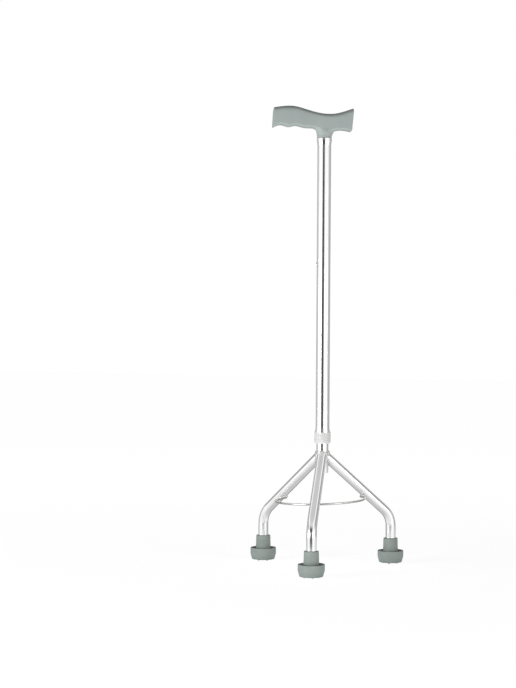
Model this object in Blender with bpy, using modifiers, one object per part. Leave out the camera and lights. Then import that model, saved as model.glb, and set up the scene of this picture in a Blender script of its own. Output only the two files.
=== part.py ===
"""Tripod cane: a telescoping shaft on three splayed legs, with a moulded T grip.

Metres, +Z up. The origin is the middle of the footprint on the floor. The snap button and
the row of holes face -X, the grip is turned from there, and the front leg points nearly to -Y.
Sizes named ..._HEIGHT are measured from the soles, which the studs hold off the floor.
"""

import math

import bmesh
import bpy
from mathutils import Matrix, Vector

MM = 0.001
UP = Vector((0.0, 0.0, 1.0))
TURN = math.tau

# Gap between two pieces that touch, and the distance within which points of one mesh are one
SEAT_GAP = 0.3 * MM
WELD = 0.01 * MM

# Shaft: two telescoping tubes
UPPER_OD = 22.0 * MM
UPPER_WALL = 1.0 * MM
UPPER_LENGTH = 476.8 * MM
LOWER_WALL = 1.2 * MM
LOWER_SHOWN = 12.9 * MM
LOWER_STUB = 12.9 * MM
LOWER_PAST_BUTTON = 30.0 * MM
TUBE_CLEARANCE = 0.3 * MM

# The upper tube is widened at its top round the grip's spigot and at its mouth round the bushing
TOP_FLARE = 1.1 * MM
TOP_FLARE_RIM = 3.0 * MM
TOP_FLARE_LENGTH = 11.5 * MM
MOUTH_FLARE = 1.0 * MM
MOUTH_FLARE_RIM = 5.0 * MM
MOUTH_FLARE_LENGTH = 16.0 * MM
FLARE_STEPS = 3

# Height adjustment: the snap button, its folded leaf spring and the row of holes
TRAVEL = 228.6 * MM
TRAVEL_STEPS = 12
LAST_HOLE = 46.4 * MM
PIN_CLEARANCE = 0.3 * MM
BUTTON_OD = 7.8 * MM
BUTTON_PROUD = 1.7 * MM
BUTTON_DOME = 1.5 * MM
BUTTON_DOME_STEPS = 3
BUTTON_FLANGE = 0.9 * MM
BUTTON_FLANGE_THICKNESS = 1.0 * MM
SPRING_WIDTH = 7.0 * MM
SPRING_THICKNESS = 0.5 * MM
SPRING_LENGTH = 40.0 * MM
SPRING_FOLD_RADIUS = 1.8 * MM
SPRING_PAD = 12.0 * MM
SPRING_TOE = 3.0 * MM

# Split bushing and the lock nut that closes it on the lower tube
BUSHING_SLEEVE_WALL = 0.7 * MM
BUSHING_SLEEVE_LENGTH = 5.5 * MM
BUSHING_BODY_WALL = 1.9 * MM
BUSHING_BODY_LENGTH = 6.0 * MM
BUSHING_TAPER_LENGTH = 3.2 * MM
BUSHING_TAPER = 1.2 * MM
BUSHING_SLOTS = 4
BUSHING_SLOT = 1.2 * MM
BUSHING_SLOT_LENGTH = 7.4 * MM
NUT_WALL = 0.9 * MM
NUT_OVER = 7.0 * MM
NUT_FLOOR = 1.6 * MM
NUT_TOP_ROUND = 0.5 * MM
NUT_FOOT_ROUND = 2.6 * MM
NUT_FOOT_BELLY = 0.3
NUT_FLUTES = 8
NUT_FLUTE_RADIUS = 5.0 * MM
NUT_FLUTE_DEPTH = 0.4 * MM

# Legs: bent tubes welded to the lower tube
LEG_OD = 16.0 * MM
LEG_WALL = 1.5 * MM
LEG_SLOPE = math.radians(40.9)
LEG_CORNER_HEIGHT = 75.4 * MM
LEG_BEND_RADIUS = 36.0 * MM
LEG_BEND_STEPS = 6
FOOT_REACH = 121.0 * MM
BASE_TURN = math.radians(45.0)
LEG_NAMES = ("right", "left", "front")

# Brace: an open ring of rod under the legs, from the left leg round the front to the right leg
ROD_OD = 3.2 * MM
BRACE_RADIUS = 71.4 * MM
BRACE_SLIDE = 2.9 * MM
BRACE_SLIDE_AZIMUTH = math.radians(202.5)
BRACE_OVERRUN = math.radians(2.0)
BRACE_STEP = math.radians(8.0)

# Rubber feet
FOOT_HEIGHT = 39.0 * MM
NECK_WALL = 3.2 * MM
NECK_TAPER = 0.7 * MM
LIP_ROUND = 0.6 * MM
MOAT_WIDTH = 2.2 * MM
MOAT_DEPTH = 2.4 * MM
RIM_WIDTH = 6.5 * MM
RIM_ROUND = 1.0 * MM
FLANGE_HEIGHT = 18.8 * MM
FLANGE_SIDE = 9.3 * MM
SOLE_INSET = 2.6 * MM
SOLE_ROUND = 0.8 * MM
FOOT_FLOOR = 9.5 * MM
INSERT_THICKNESS = 1.5 * MM
INSERT_BORE = 5.0 * MM

# Steel studs, five in each sole
STUDS = 5
STUD_CIRCLE = 11.9 * MM
STUD_TURN = math.radians(18.0)
STUD_PROUD = 2.5 * MM
STUD_OD = 4.4 * MM
STUD_POINT = 0.6 * MM
STUD_COLLAR = 1.2 * MM
STUD_SHANK_OD = 3.0 * MM
STUD_SHANK = 4.6 * MM

# Grip: a cage for Subdivision Surface, measured from the shaft's axis and from the neck's seat
GRIP_LONG = 82.4 * MM
GRIP_SHORT = 44.6 * MM
GRIP_WIDTH = 28.0 * MM
GRIP_TURN = math.radians(30.0)
GRIP_LONG_RAKE = 1.6 * MM
GRIP_SHORT_RAKE = 3.2 * MM
GRIP_SIDE_SWELL = 0.4 * MM
GRIP_CROWN_SWELL = 5.4 * MM
GRIP_BELLY_SWELL = 0.6 * MM
GRIP_EDGE_CREASE = 0.45
GRIP_END_CREASE = 0.95
NECK_OD = 23.6 * MM
NECK_BEND = 15.5 * MM

# Sections of the cage: share of the way, then crown, underside and narrowing of each side in mm.
# The long side runs from its end to the neck, over two finger grooves with a ridge between them.
GRIP_LONG_SECTIONS = (
    (1.00, 44.1, 15.4, 1.0),
    (0.81, 46.1, 22.9, 0.0),
    (0.63, 47.4, 15.2, -0.6),
    (0.46, 46.9, 21.8, -0.6),
    (0.28, 43.5, 15.6, 0.0),
)
GRIP_NECK_SECTIONS = (
    (-1.0, 38.0, 16.9, 0.6),
    (0.0, 35.3, 15.0, 0.8),
    (1.0, 35.4, 11.6, 0.8),
)
GRIP_SHORT_SECTIONS = (
    (0.42, 38.2, 14.7, 0.8),
    (1.00, 44.9, 11.2, 1.2),
)
# Rings of the cage down the neck: height, growth of the radius and lean to the short side, in mm
NECK_RINGS = (
    (9.5, 2.2, 1.0),
    (3.6, 0.0, 0.0),
    (0.0, 0.0, 0.0),
)

# The grip's spigot in the upper tube, cored from below
SPIGOT_LENGTH = 38.0 * MM
SPIGOT_ROOT = 6.0 * MM
SPIGOT_CORE = 11.0 * MM
SPIGOT_CORE_DEPTH = 50.0 * MM
SPIGOT_CHAMFER = 1.0 * MM

# Facets round a full turn
TUBE_SIDES = 32
LEG_BEVEL_RESOLUTION = 6
ROD_BEVEL_RESOLUTION = 2
FOOT_SIDES = 26
INSERT_SIDES = 16
STUD_SIDES = 8
STUD_HOLE_SIDES = 8
HOLE_SIDES = 12
FLUTE_SIDES = 24
SMOOTH_ANGLE = math.radians(40.0)

# Radii and heights that follow from the sizes above
UPPER_R = UPPER_OD / 2
UPPER_BORE_R = UPPER_R - UPPER_WALL
LOWER_R = UPPER_BORE_R - TUBE_CLEARANCE
LOWER_BORE_R = LOWER_R - LOWER_WALL
MOUTH_R = UPPER_R + MOUTH_FLARE
MOUTH_BORE_R = MOUTH_R - UPPER_WALL
SLIDING_BORE_R = LOWER_R + SEAT_GAP
BUTTON_R = BUTTON_OD / 2
BUTTON_FLANGE_R = BUTTON_R + BUTTON_FLANGE
BUTTON_SEAT = math.sqrt(LOWER_BORE_R**2 - BUTTON_FLANGE_R**2) - SEAT_GAP
HOLE_R = BUTTON_R + PIN_CLEARANCE
HOLE_PITCH = TRAVEL / TRAVEL_STEPS
LEG_R = LEG_OD / 2
LEG_SADDLE_R = max(LOWER_R, LEG_R / math.sin(TURN / 6)) + SEAT_GAP
ROD_R = ROD_OD / 2
SOCKET_R = LEG_R + SEAT_GAP
NECK_TOP_R = SOCKET_R + NECK_WALL
NECK_FOOT_R = NECK_TOP_R + NECK_TAPER
MOAT_R = NECK_FOOT_R + MOAT_WIDTH
FLANGE_R = MOAT_R + RIM_WIDTH
SOLE_R = FLANGE_R - SOLE_INSET
SOLE_Z = STUD_PROUD
LEG_END_HEIGHT = FOOT_FLOOR + INSERT_THICKNESS + 2 * SEAT_GAP
LEG_JOIN_HEIGHT = LEG_CORNER_HEIGHT + FOOT_REACH * math.tan(LEG_SLOPE)
LEG_SADDLE_HEIGHT = LEG_JOIN_HEIGHT - LEG_SADDLE_R * math.tan(LEG_SLOPE)
LEG_SADDLE_HALF = LEG_R / math.cos(LEG_SLOPE)
STUB_HEIGHT = LEG_SADDLE_HEIGHT - LEG_SADDLE_HALF - LOWER_STUB
NUT_FOOT_HEIGHT = LEG_SADDLE_HEIGHT + LEG_SADDLE_HALF + LOWER_SHOWN
BUSHING_R = SLIDING_BORE_R + BUSHING_BODY_WALL
BUSHING_TAPER_R = BUSHING_R - BUSHING_TAPER
BUSHING_LENGTH = BUSHING_BODY_LENGTH + BUSHING_TAPER_LENGTH
MOUTH_HEIGHT = NUT_FOOT_HEIGHT + NUT_FLOOR + BUSHING_LENGTH + 2 * SEAT_GAP
BUTTON_HEIGHT = MOUTH_HEIGHT + LAST_HOLE + TRAVEL
NUT_BORE_R = max(BUSHING_R, MOUTH_R) + SEAT_GAP
NUT_R = NUT_BORE_R + NUT_WALL
LEG_AZIMUTHS = {name: BASE_TURN + i * TURN / 3 for i, name in enumerate(LEG_NAMES)}
BRACE_DROP = (LEG_R + ROD_R + SEAT_GAP) / math.cos(LEG_SLOPE)
BRACE_HEIGHT = LEG_JOIN_HEIGHT - BRACE_RADIUS * math.tan(LEG_SLOPE) - BRACE_DROP
BRACE_TILT = math.atan(BRACE_SLIDE * math.tan(LEG_SLOPE) / BRACE_RADIUS)


# Helpers


def collection(name):
    made = bpy.data.collections.new(name)
    bpy.context.scene.collection.children.link(made)
    return made


def clear_scene():
    for thing in list(bpy.data.objects):
        bpy.data.objects.remove(thing)


def material(name, colour, roughness, metallic):
    made = bpy.data.materials.new(name)
    made.use_nodes = True
    shader = made.node_tree.nodes["Principled BSDF"]
    shader.inputs["Base Color"].default_value = (*colour, 1.0)
    shader.inputs["Roughness"].default_value = roughness
    shader.inputs["Metallic"].default_value = metallic
    return made


def add_object(name, data, group, parent=None, location=(0.0, 0.0, 0.0), turn=0.0):
    made = bpy.data.objects.new(name, data)
    made.location = location
    made.rotation_euler = (0.0, 0.0, turn)
    made.parent = parent
    group.objects.link(made)
    return made


def empty(name, group, parent=None, location=(0.0, 0.0, 0.0), turn=0.0):
    return add_object(name, None, group, parent, location, turn)


def smooth(mesh):
    mesh.shade_smooth()
    mesh.set_sharp_from_angle(angle=SMOOTH_ANGLE)


def outline_mesh(name, points, closed):
    """A profile in the XZ plane, as (radius, height) pairs."""
    mesh = bpy.data.meshes.new(name)
    count = len(points)
    edges = [(i, i + 1) for i in range(count - 1)]
    if closed:
        edges.append((count - 1, 0))
    mesh.from_pydata([(r, 0.0, z) for r, z in points], edges, [])
    return mesh


def add_screw(thing, sides):
    turn = thing.modifiers.new("turn", "SCREW")
    turn.steps = sides
    turn.render_steps = sides
    turn.use_merge_vertices = True
    turn.merge_threshold = WELD
    turn.use_smooth_shade = True
    return thing


def turned(name, points, sides, group, parent, closed=False):
    """A turned piece: an open profile starts and ends on the axis, a closed one is a ring."""
    thing = add_object(name, outline_mesh(name, points, closed), group, parent)
    return add_screw(thing, sides)


def baked(thing):
    """The mesh of an object as its modifiers leave it, with loose caps welded."""
    seen = thing.evaluated_get(bpy.context.evaluated_depsgraph_get())
    mesh = bpy.data.meshes.new_from_object(seen)
    bm = bmesh.new()
    bm.from_mesh(mesh)
    bmesh.ops.remove_doubles(bm, verts=bm.verts, dist=WELD)
    bm.to_mesh(mesh)
    bm.free()
    return mesh


def add_boolean(thing, cutter, operation="DIFFERENCE"):
    cut = thing.modifiers.new(cutter.name, "BOOLEAN")
    cut.object = cutter
    cut.operation = operation
    cut.solver = "EXACT"
    return thing


def as_cutter(thing):
    thing.hide_render = True
    thing.display_type = "WIRE"
    return thing


def rods_mesh(name, radius, depth, sides, places):
    """Cylinders in one mesh, each centred and turned by its own matrix."""
    mesh = bpy.data.meshes.new(name)
    bm = bmesh.new()
    for place in places:
        bmesh.ops.create_cone(
            bm, cap_ends=True, segments=sides, radius1=radius, radius2=radius, depth=depth, matrix=place
        )
    bm.to_mesh(mesh)
    bm.free()
    return mesh


def polar(radius, azimuth, height=0.0):
    return Vector((radius * math.cos(azimuth), radius * math.sin(azimuth), height))


def footprint_centre():
    """The middle of the box round the feet and the grip, seen from the shaft's axis."""
    feet = [polar(FOOT_REACH, azimuth) for azimuth in LEG_AZIMUTHS.values()]
    long_end = polar(GRIP_LONG, GRIP_TURN + TURN / 2)
    short_end = polar(GRIP_SHORT, GRIP_TURN)
    places = [(foot, FLANGE_R) for foot in feet]
    places += [(end, GRIP_WIDTH / 2) for end in (long_end, short_end)]
    low_x = min(place.x - reach for place, reach in places)
    high_x = max(place.x + reach for place, reach in places)
    low_y = min(place.y - reach for place, reach in places)
    high_y = max(place.y + reach for place, reach in places)
    return (low_x + high_x) / 2, (low_y + high_y) / 2


def flare(radius, spread, rim, length):
    """A tube end that widens: (radius, distance from the end) pairs from the end inwards."""
    points = [(radius + spread, 0.0), (radius + spread, rim)]
    for i in range(1, FLARE_STEPS + 1):
        share = i / FLARE_STEPS
        ease = (1 + math.cos(share * TURN / 2)) / 2
        points.append((radius + spread * ease, rim + (length - rim) * share))
    return points


# The shaft


def upper_tube(group, cutters, parent, metal):
    """Heights are from the tube's mouth."""
    top = [(r, UPPER_LENGTH - z) for r, z in flare(UPPER_R, TOP_FLARE, TOP_FLARE_RIM, TOP_FLARE_LENGTH)]
    mouth = flare(UPPER_R, MOUTH_FLARE, MOUTH_FLARE_RIM, MOUTH_FLARE_LENGTH)
    outside = top + mouth[::-1]
    inside = [(r - UPPER_WALL, z) for r, z in reversed(outside)]
    tube = turned("upper_tube", outside + inside, TUBE_SIDES, group, parent, closed=True)
    tube.data.materials.append(metal)
    heights = [LAST_HOLE + i * HOLE_PITCH for i in range(TRAVEL_STEPS + 1)]
    places = [radial_place(height, UPPER_R) for height in heights]
    rods = rods_mesh("adjustment_holes", HOLE_R, UPPER_R, HOLE_SIDES, places)
    cutter = add_object("adjustment_holes", rods, cutters, parent)
    return add_boolean(tube, as_cutter(cutter))


def radial_place(height, distance):
    """The place of a rod that points along X, on the -X side of the shaft."""
    return Matrix.Translation((-distance, 0.0, height)) @ Matrix.Rotation(TURN / 4, 4, "Y")


def lower_tube(group, cutters, parent, metal):
    """Heights are from the soles."""
    top = BUTTON_HEIGHT + LOWER_PAST_BUTTON
    outline = [(LOWER_R, top), (LOWER_R, STUB_HEIGHT), (LOWER_BORE_R, STUB_HEIGHT), (LOWER_BORE_R, top)]
    tube = turned("lower_tube", outline, TUBE_SIDES, group, parent, closed=True)
    tube.data.materials.append(metal)
    hole = rods_mesh("button_hole", HOLE_R, LOWER_R, HOLE_SIDES, [radial_place(BUTTON_HEIGHT, LOWER_R)])
    return add_boolean(tube, as_cutter(add_object("button_hole", hole, cutters, parent)))


def snap_button(group, parent, metal):
    """A domed pin with a flange that stops it behind the lower tube's wall."""
    brow = UPPER_R + BUTTON_PROUD - BUTTON_DOME
    angles = [TURN / 4 * i / BUTTON_DOME_STEPS for i in range(BUTTON_DOME_STEPS + 1)]
    outline = [
        *[(BUTTON_R * math.sin(angle), brow + BUTTON_DOME * math.cos(angle)) for angle in angles],
        (BUTTON_R, BUTTON_SEAT),
        (BUTTON_FLANGE_R, BUTTON_SEAT),
        (BUTTON_FLANGE_R, BUTTON_SEAT - BUTTON_FLANGE_THICKNESS),
        (0.0, BUTTON_SEAT - BUTTON_FLANGE_THICKNESS),
    ]
    button = turned("snap_button", outline, HOLE_SIDES, group, parent)
    button.rotation_euler = (0.0, -TURN / 4, 0.0)
    button.data.materials.append(metal)
    return button


def button_spring(group, parent, metal):
    """A folded leaf: a pad behind the button, a fold below it, and a leaf on the far wall."""
    half = SPRING_THICKNESS / 2
    near = -(BUTTON_SEAT - BUTTON_FLANGE_THICKNESS - SEAT_GAP - half)
    far = math.sqrt(LOWER_BORE_R**2 - (SPRING_WIDTH / 2) ** 2) - SEAT_GAP - half
    fold = SPRING_FOLD_RADIUS
    bottom = SPRING_PAD / 2 - SPRING_LENGTH
    path = [(near, SPRING_PAD / 2), (near, -SPRING_PAD / 2)]
    for i in range(5):
        turn = TURN / 2 + i * TURN / 8
        path.append((fold * math.cos(turn), bottom + fold + fold * math.sin(turn)))
    path += [(far, -SPRING_PAD / 2), (far, SPRING_TOE)]
    mesh = bpy.data.meshes.new("button_spring")
    verts = [(x, side * SPRING_WIDTH / 2, z) for x, z in path for side in (-1, 1)]
    faces = [(2 * i, 2 * i + 1, 2 * i + 3, 2 * i + 2) for i in range(len(path) - 1)]
    mesh.from_pydata(verts, [], faces)
    mesh.materials.append(metal)
    spring = add_object("button_spring", mesh, group, parent)
    shell = spring.modifiers.new("thickness", "SOLIDIFY")
    shell.thickness = SPRING_THICKNESS
    shell.offset = 0.0
    shell.use_even_offset = True
    return spring


# The clamp at the mouth of the upper tube, with heights from that mouth


def split_bushing(group, cutters, parent, plastic):
    """A sleeve in the tube's mouth, a body against its rim, and a slotted taper below."""
    sleeve_r = min(SLIDING_BORE_R + BUSHING_SLEEVE_WALL, MOUTH_BORE_R - SEAT_GAP)
    shoulder = -SEAT_GAP
    foot = shoulder - BUSHING_LENGTH
    outline = [
        (sleeve_r, shoulder + BUSHING_SLEEVE_LENGTH),
        (sleeve_r, shoulder),
        (BUSHING_R, shoulder),
        (BUSHING_R, shoulder - BUSHING_BODY_LENGTH),
        (BUSHING_TAPER_R, foot),
        (SLIDING_BORE_R, foot),
        (SLIDING_BORE_R, shoulder + BUSHING_SLEEVE_LENGTH),
    ]
    bushing = turned("split_bushing", outline, TUBE_SIDES, group, parent, closed=True)
    bushing.data.materials.append(plastic)
    across = Matrix.Diagonal((3 * BUSHING_BODY_WALL, BUSHING_SLOT, 2 * BUSHING_SLOT_LENGTH, 1.0))
    out = Matrix.Translation((SLIDING_BORE_R + BUSHING_BODY_WALL / 2, 0.0, foot))
    mesh = bpy.data.meshes.new("bushing_slots")
    bm = bmesh.new()
    for i in range(BUSHING_SLOTS):
        turn = Matrix.Rotation((i + 0.5) * TURN / BUSHING_SLOTS, 4, "Z")
        bmesh.ops.create_cube(bm, size=1.0, matrix=turn @ out @ across)
    bm.to_mesh(mesh)
    bm.free()
    return add_boolean(bushing, as_cutter(add_object("bushing_slots", mesh, cutters, parent)))


def lock_nut(group, cutters, parent, plastic):
    """A fluted cup round the mouth; its floor closes the bushing's taper on the lower tube."""
    floor = -BUSHING_LENGTH - 2 * SEAT_GAP
    foot = floor - NUT_FLOOR
    belly = NUT_FOOT_ROUND * NUT_FOOT_BELLY
    outline = [
        (NUT_R - NUT_TOP_ROUND, NUT_OVER),
        (NUT_R, NUT_OVER - NUT_TOP_ROUND),
        (NUT_R, foot + NUT_FOOT_ROUND),
        (NUT_R - belly, foot + belly),
        (NUT_R - NUT_FOOT_ROUND, foot),
        (SLIDING_BORE_R, foot),
        (SLIDING_BORE_R, floor),
        (BUSHING_TAPER_R + SEAT_GAP, floor),
        (NUT_BORE_R, floor + BUSHING_TAPER_LENGTH + SEAT_GAP),
        (NUT_BORE_R, NUT_OVER),
    ]
    nut = turned("lock_nut", outline, TUBE_SIDES, group, parent, closed=True)
    nut.data.materials.append(plastic)
    flute_top = NUT_OVER - 3 * NUT_TOP_ROUND
    flute_foot = foot + NUT_FOOT_ROUND
    reach = NUT_R + NUT_FLUTE_RADIUS - NUT_FLUTE_DEPTH
    middles = [polar(reach, i * TURN / NUT_FLUTES, (flute_top + flute_foot) / 2) for i in range(NUT_FLUTES)]
    places = [Matrix.Translation(middle) for middle in middles]
    mesh = rods_mesh("nut_flutes", NUT_FLUTE_RADIUS, flute_top - flute_foot, FLUTE_SIDES, places)
    return add_boolean(nut, as_cutter(add_object("nut_flutes", mesh, cutters, parent)))


# The base


def leg_route():
    """The leg's centre line in the XZ plane, from the shaft's axis out and down to its end."""
    turn = TURN / 4 - LEG_SLOPE
    bend_end = LEG_CORNER_HEIGHT - LEG_BEND_RADIUS * math.tan(turn / 2)
    centre = Vector((FOOT_REACH - LEG_BEND_RADIUS, 0.0, bend_end))
    points = [Vector((0.0, 0.0, LEG_JOIN_HEIGHT))]
    for i in range(LEG_BEND_STEPS + 1):
        angle = turn * (1 - i / LEG_BEND_STEPS)
        points.append(centre + LEG_BEND_RADIUS * Vector((math.cos(angle), 0.0, math.sin(angle))))
    points.append(Vector((FOOT_REACH, 0.0, LEG_END_HEIGHT)))
    return points


def swept(name, points, radius, resolution, caps):
    """A tube mesh along points, open at its ends unless caps is set."""
    curve = bpy.data.curves.new(name, "CURVE")
    curve.dimensions = "3D"
    curve.bevel_depth = radius
    curve.bevel_resolution = resolution
    curve.use_fill_caps = caps
    line = curve.splines.new("POLY")
    line.points.add(len(points) - 1)
    for place, point in zip(line.points, points):
        place.co = (*point, 1.0)
    guide = bpy.data.objects.new(name, curve)
    bpy.context.scene.collection.objects.link(guide)
    bpy.context.view_layer.update()
    mesh = baked(guide)
    bpy.data.objects.remove(guide)
    bpy.data.curves.remove(curve)
    return mesh


def legs(group, cutters, parent, metal):
    """Each leg is a tube whose upper end is shaped to the lower tube that it is welded to."""
    tube = swept("leg", leg_route(), LEG_R, LEG_BEVEL_RESOLUTION, caps=False)
    smooth(tube)
    tube.materials.append(metal)
    above = 2 * LEG_JOIN_HEIGHT
    outline = [(0.0, above), (LEG_SADDLE_R, above), (LEG_SADDLE_R, 0.0), (0.0, 0.0)]
    saddle = as_cutter(turned("leg_saddle", outline, TUBE_SIDES, cutters, parent))
    made = []
    for name, azimuth in LEG_AZIMUTHS.items():
        leg = add_object(f"leg_{name}", tube, group, parent, turn=azimuth)
        shell = leg.modifiers.new("wall", "SOLIDIFY")
        shell.thickness = LEG_WALL
        shell.offset = -1.0
        shell.use_even_offset = True
        made.append(add_boolean(leg, saddle))
    return made


def brace_rod(group, parent, metal):
    """An open ring against the underside of all three legs.

    It stands a little off the shaft's axis, so it also leans by as much as the legs' slope asks.
    """
    start = LEG_AZIMUTHS["left"] - BRACE_OVERRUN
    end = LEG_AZIMUTHS["right"] + TURN + BRACE_OVERRUN
    steps = round((end - start) / BRACE_STEP)
    route = [polar(BRACE_RADIUS, start + (end - start) * i / steps) for i in range(steps + 1)]
    mesh = swept("brace_rod", route, ROD_R, ROD_BEVEL_RESOLUTION, caps=True)
    smooth(mesh)
    mesh.materials.append(metal)
    middle = polar(BRACE_SLIDE, BRACE_SLIDE_AZIMUTH, BRACE_HEIGHT)
    rod = add_object("brace_rod", mesh, group, parent, middle)
    hinge = polar(1.0, BRACE_SLIDE_AZIMUTH + TURN / 4)
    rod.rotation_euler = Matrix.Rotation(BRACE_TILT, 3, hinge).to_euler()
    return rod


def foot_outline():
    """From the middle of the socket's floor up its wall, over the lip, and down the outside."""
    lip = FOOT_HEIGHT - LIP_ROUND
    moat_floor = FLANGE_HEIGHT - MOAT_DEPTH
    return [
        (0.0, FOOT_FLOOR),
        (SOCKET_R, FOOT_FLOOR),
        (SOCKET_R, lip),
        (SOCKET_R + LIP_ROUND, FOOT_HEIGHT),
        (NECK_TOP_R - LIP_ROUND, FOOT_HEIGHT),
        (NECK_TOP_R, lip),
        (NECK_FOOT_R, moat_floor),
        (MOAT_R, moat_floor),
        (MOAT_R, FLANGE_HEIGHT),
        (FLANGE_R - RIM_ROUND, FLANGE_HEIGHT),
        (FLANGE_R, FLANGE_HEIGHT - RIM_ROUND),
        (FLANGE_R, FLANGE_SIDE),
        (SOLE_R, SOLE_ROUND),
        (SOLE_R - SOLE_ROUND, 0.0),
        (0.0, 0.0),
    ]


def stud_places():
    """Where the studs stand in a sole, seen from the foot's axis."""
    return [polar(STUD_CIRCLE, STUD_TURN + i * TURN / STUDS) for i in range(STUDS)]


def stud_hole_mesh():
    """Stepped holes for the studs' collars and shanks, in one mesh."""
    collar_r = STUD_OD / 2 + SEAT_GAP
    shank_r = STUD_SHANK_OD / 2 + SEAT_GAP
    collar_top = STUD_COLLAR + SEAT_GAP
    shank_top = STUD_COLLAR + STUD_SHANK + SEAT_GAP
    outline = [
        (0.0, shank_top),
        (shank_r, shank_top),
        (shank_r, collar_top),
        (collar_r, collar_top),
        (collar_r, -STUD_PROUD),
        (0.0, -STUD_PROUD),
    ]
    mesh = bpy.data.meshes.new("stud_holes")
    bm = bmesh.new()
    for place in stud_places():
        verts = [bm.verts.new((place.x + r, place.y, z)) for r, z in outline]
        edges = [bm.edges.new(pair) for pair in zip(verts, verts[1:])]
        line = verts + edges
        bmesh.ops.spin(bm, geom=line, cent=place, axis=UP, angle=TURN, steps=STUD_HOLE_SIDES, use_merge=True)
    bmesh.ops.remove_doubles(bm, verts=bm.verts, dist=WELD)
    bmesh.ops.recalc_face_normals(bm, faces=bm.faces)
    bm.to_mesh(mesh)
    bm.free()
    return mesh


def insert_outline():
    """A washer on the socket's floor, under the leg's end."""
    outer = SOCKET_R - SEAT_GAP
    inner = INSERT_BORE / 2
    foot = FOOT_FLOOR + SEAT_GAP
    top = foot + INSERT_THICKNESS
    return [(outer, top), (outer, foot), (inner, foot), (inner, top)]


def feet(group, cutters, parent, rubber, steel):
    """A rubber foot on each leg, with a washer under the leg's end and studs in its sole."""
    body = outline_mesh("foot", foot_outline(), closed=False)
    body.materials.append(rubber)
    washer = outline_mesh("insert", insert_outline(), closed=True)
    washer.materials.append(steel)
    stud = outline_mesh("stud", stud_outline(), closed=False)
    stud.materials.append(steel)
    holes = stud_hole_mesh()
    for name, azimuth in LEG_AZIMUTHS.items():
        axis = polar(FOOT_REACH, azimuth)
        foot = add_screw(add_object(f"foot_{name}", body, group, parent, axis, azimuth), FOOT_SIDES)
        cutter = add_object(f"stud_holes_{name}", holes, cutters, parent, axis, azimuth)
        add_boolean(foot, as_cutter(cutter))
        add_screw(add_object(f"insert_{name}", washer, group, parent, axis, azimuth), INSERT_SIDES)
        for i, place in enumerate(stud_places(), start=1):
            at = axis + Matrix.Rotation(azimuth, 4, "Z") @ place
            add_screw(add_object(f"stud_{name}_{i}", stud, group, parent, at, azimuth), STUD_SIDES)


def stud_outline():
    """Shank up in the rubber, collar in its recess, and the cone that meets the floor."""
    shank_r = STUD_SHANK_OD / 2
    return [
        (0.0, STUD_COLLAR + STUD_SHANK),
        (shank_r, STUD_COLLAR + STUD_SHANK),
        (shank_r, STUD_COLLAR),
        (STUD_OD / 2, STUD_COLLAR),
        (STUD_OD / 2, 0.0),
        (STUD_POINT / 2, -STUD_PROUD),
        (0.0, -STUD_PROUD),
    ]


# The grip


def grip_sections():
    """Cage sections along X: place, crown, underside and half width."""
    reach = GRIP_LONG - NECK_BEND
    rows = [(-NECK_BEND - share * reach, *rest) for share, *rest in GRIP_LONG_SECTIONS]
    rows += [(share * NECK_BEND, *rest) for share, *rest in GRIP_NECK_SECTIONS]
    reach = GRIP_SHORT - NECK_BEND
    rows += [(NECK_BEND + share * reach, *rest) for share, *rest in GRIP_SHORT_SECTIONS]
    return [(x, crown * MM, under * MM, GRIP_WIDTH / 2 - less * MM) for x, crown, under, less in rows]


def grip_ring(bm, x, crown, under, half, rake):
    """Eight cage points round the grip, from the near lower corner up and over to the far one.

    A rake leans the ring along X by that much between the underside and the crown.
    """
    middle = (crown + under) / 2
    side = half + GRIP_SIDE_SWELL
    corners = [
        (-half, under),
        (-side, middle),
        (-half, crown),
        (0.0, crown + GRIP_CROWN_SWELL),
        (half, crown),
        (side, middle),
        (half, under),
        (0.0, under - GRIP_BELLY_SWELL),
    ]
    lean = rake / (crown - under)
    return [bm.verts.new((x + lean * (z - middle), y, z)) for y, z in corners]


def grip_cage():
    """The grip's cage: rings along X, closed ends, and the neck drawn down from the underside."""
    bm = bmesh.new()
    crease = bm.edges.layers.float.new("crease_edge")
    sections = grip_sections()
    rakes = [GRIP_LONG_RAKE, *[0.0] * (len(sections) - 2), GRIP_SHORT_RAKE]
    rings = [grip_ring(bm, *section, rake) for section, rake in zip(sections, rakes)]
    neck = len(GRIP_LONG_SECTIONS)
    for i, (ring, other) in enumerate(zip(rings, rings[1:])):
        for j in range(8):
            over_neck = j in (6, 7) and i in (neck, neck + 1)
            if not over_neck:
                bm.faces.new((ring[j], ring[(j + 1) % 8], other[(j + 1) % 8], other[j]))
        for j in (0, 2, 4, 6):
            edge = bm.edges.get((ring[j], other[j]))
            if edge:
                edge[crease] = GRIP_EDGE_CREASE
    for ring in (rings[0], rings[-1]):
        centre = bm.verts.new(sum((v.co for v in ring), Vector()) / 8)
        close_ring(bm, crease, ring, centre, GRIP_END_CREASE)
    seat = neck_rings(bm, rings[neck:neck + 3])
    close_ring(bm, crease, seat, bm.verts.new((0.0, 0.0, 0.0)), 1.0)
    bmesh.ops.recalc_face_normals(bm, faces=bm.faces)
    mesh = bpy.data.meshes.new("handle")
    bm.to_mesh(mesh)
    bm.free()
    return mesh


def close_ring(bm, crease, ring, centre, sharpness):
    """Four faces from a ring of eight to its centre, and a crease round its edge."""
    for j in (0, 2, 4, 6):
        bm.faces.new((centre, ring[(j - 1) % 8], ring[j], ring[(j + 1) % 8]))
    for j in range(8):
        bm.edges.get((ring[j], ring[(j + 1) % 8]))[crease] = sharpness


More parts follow.
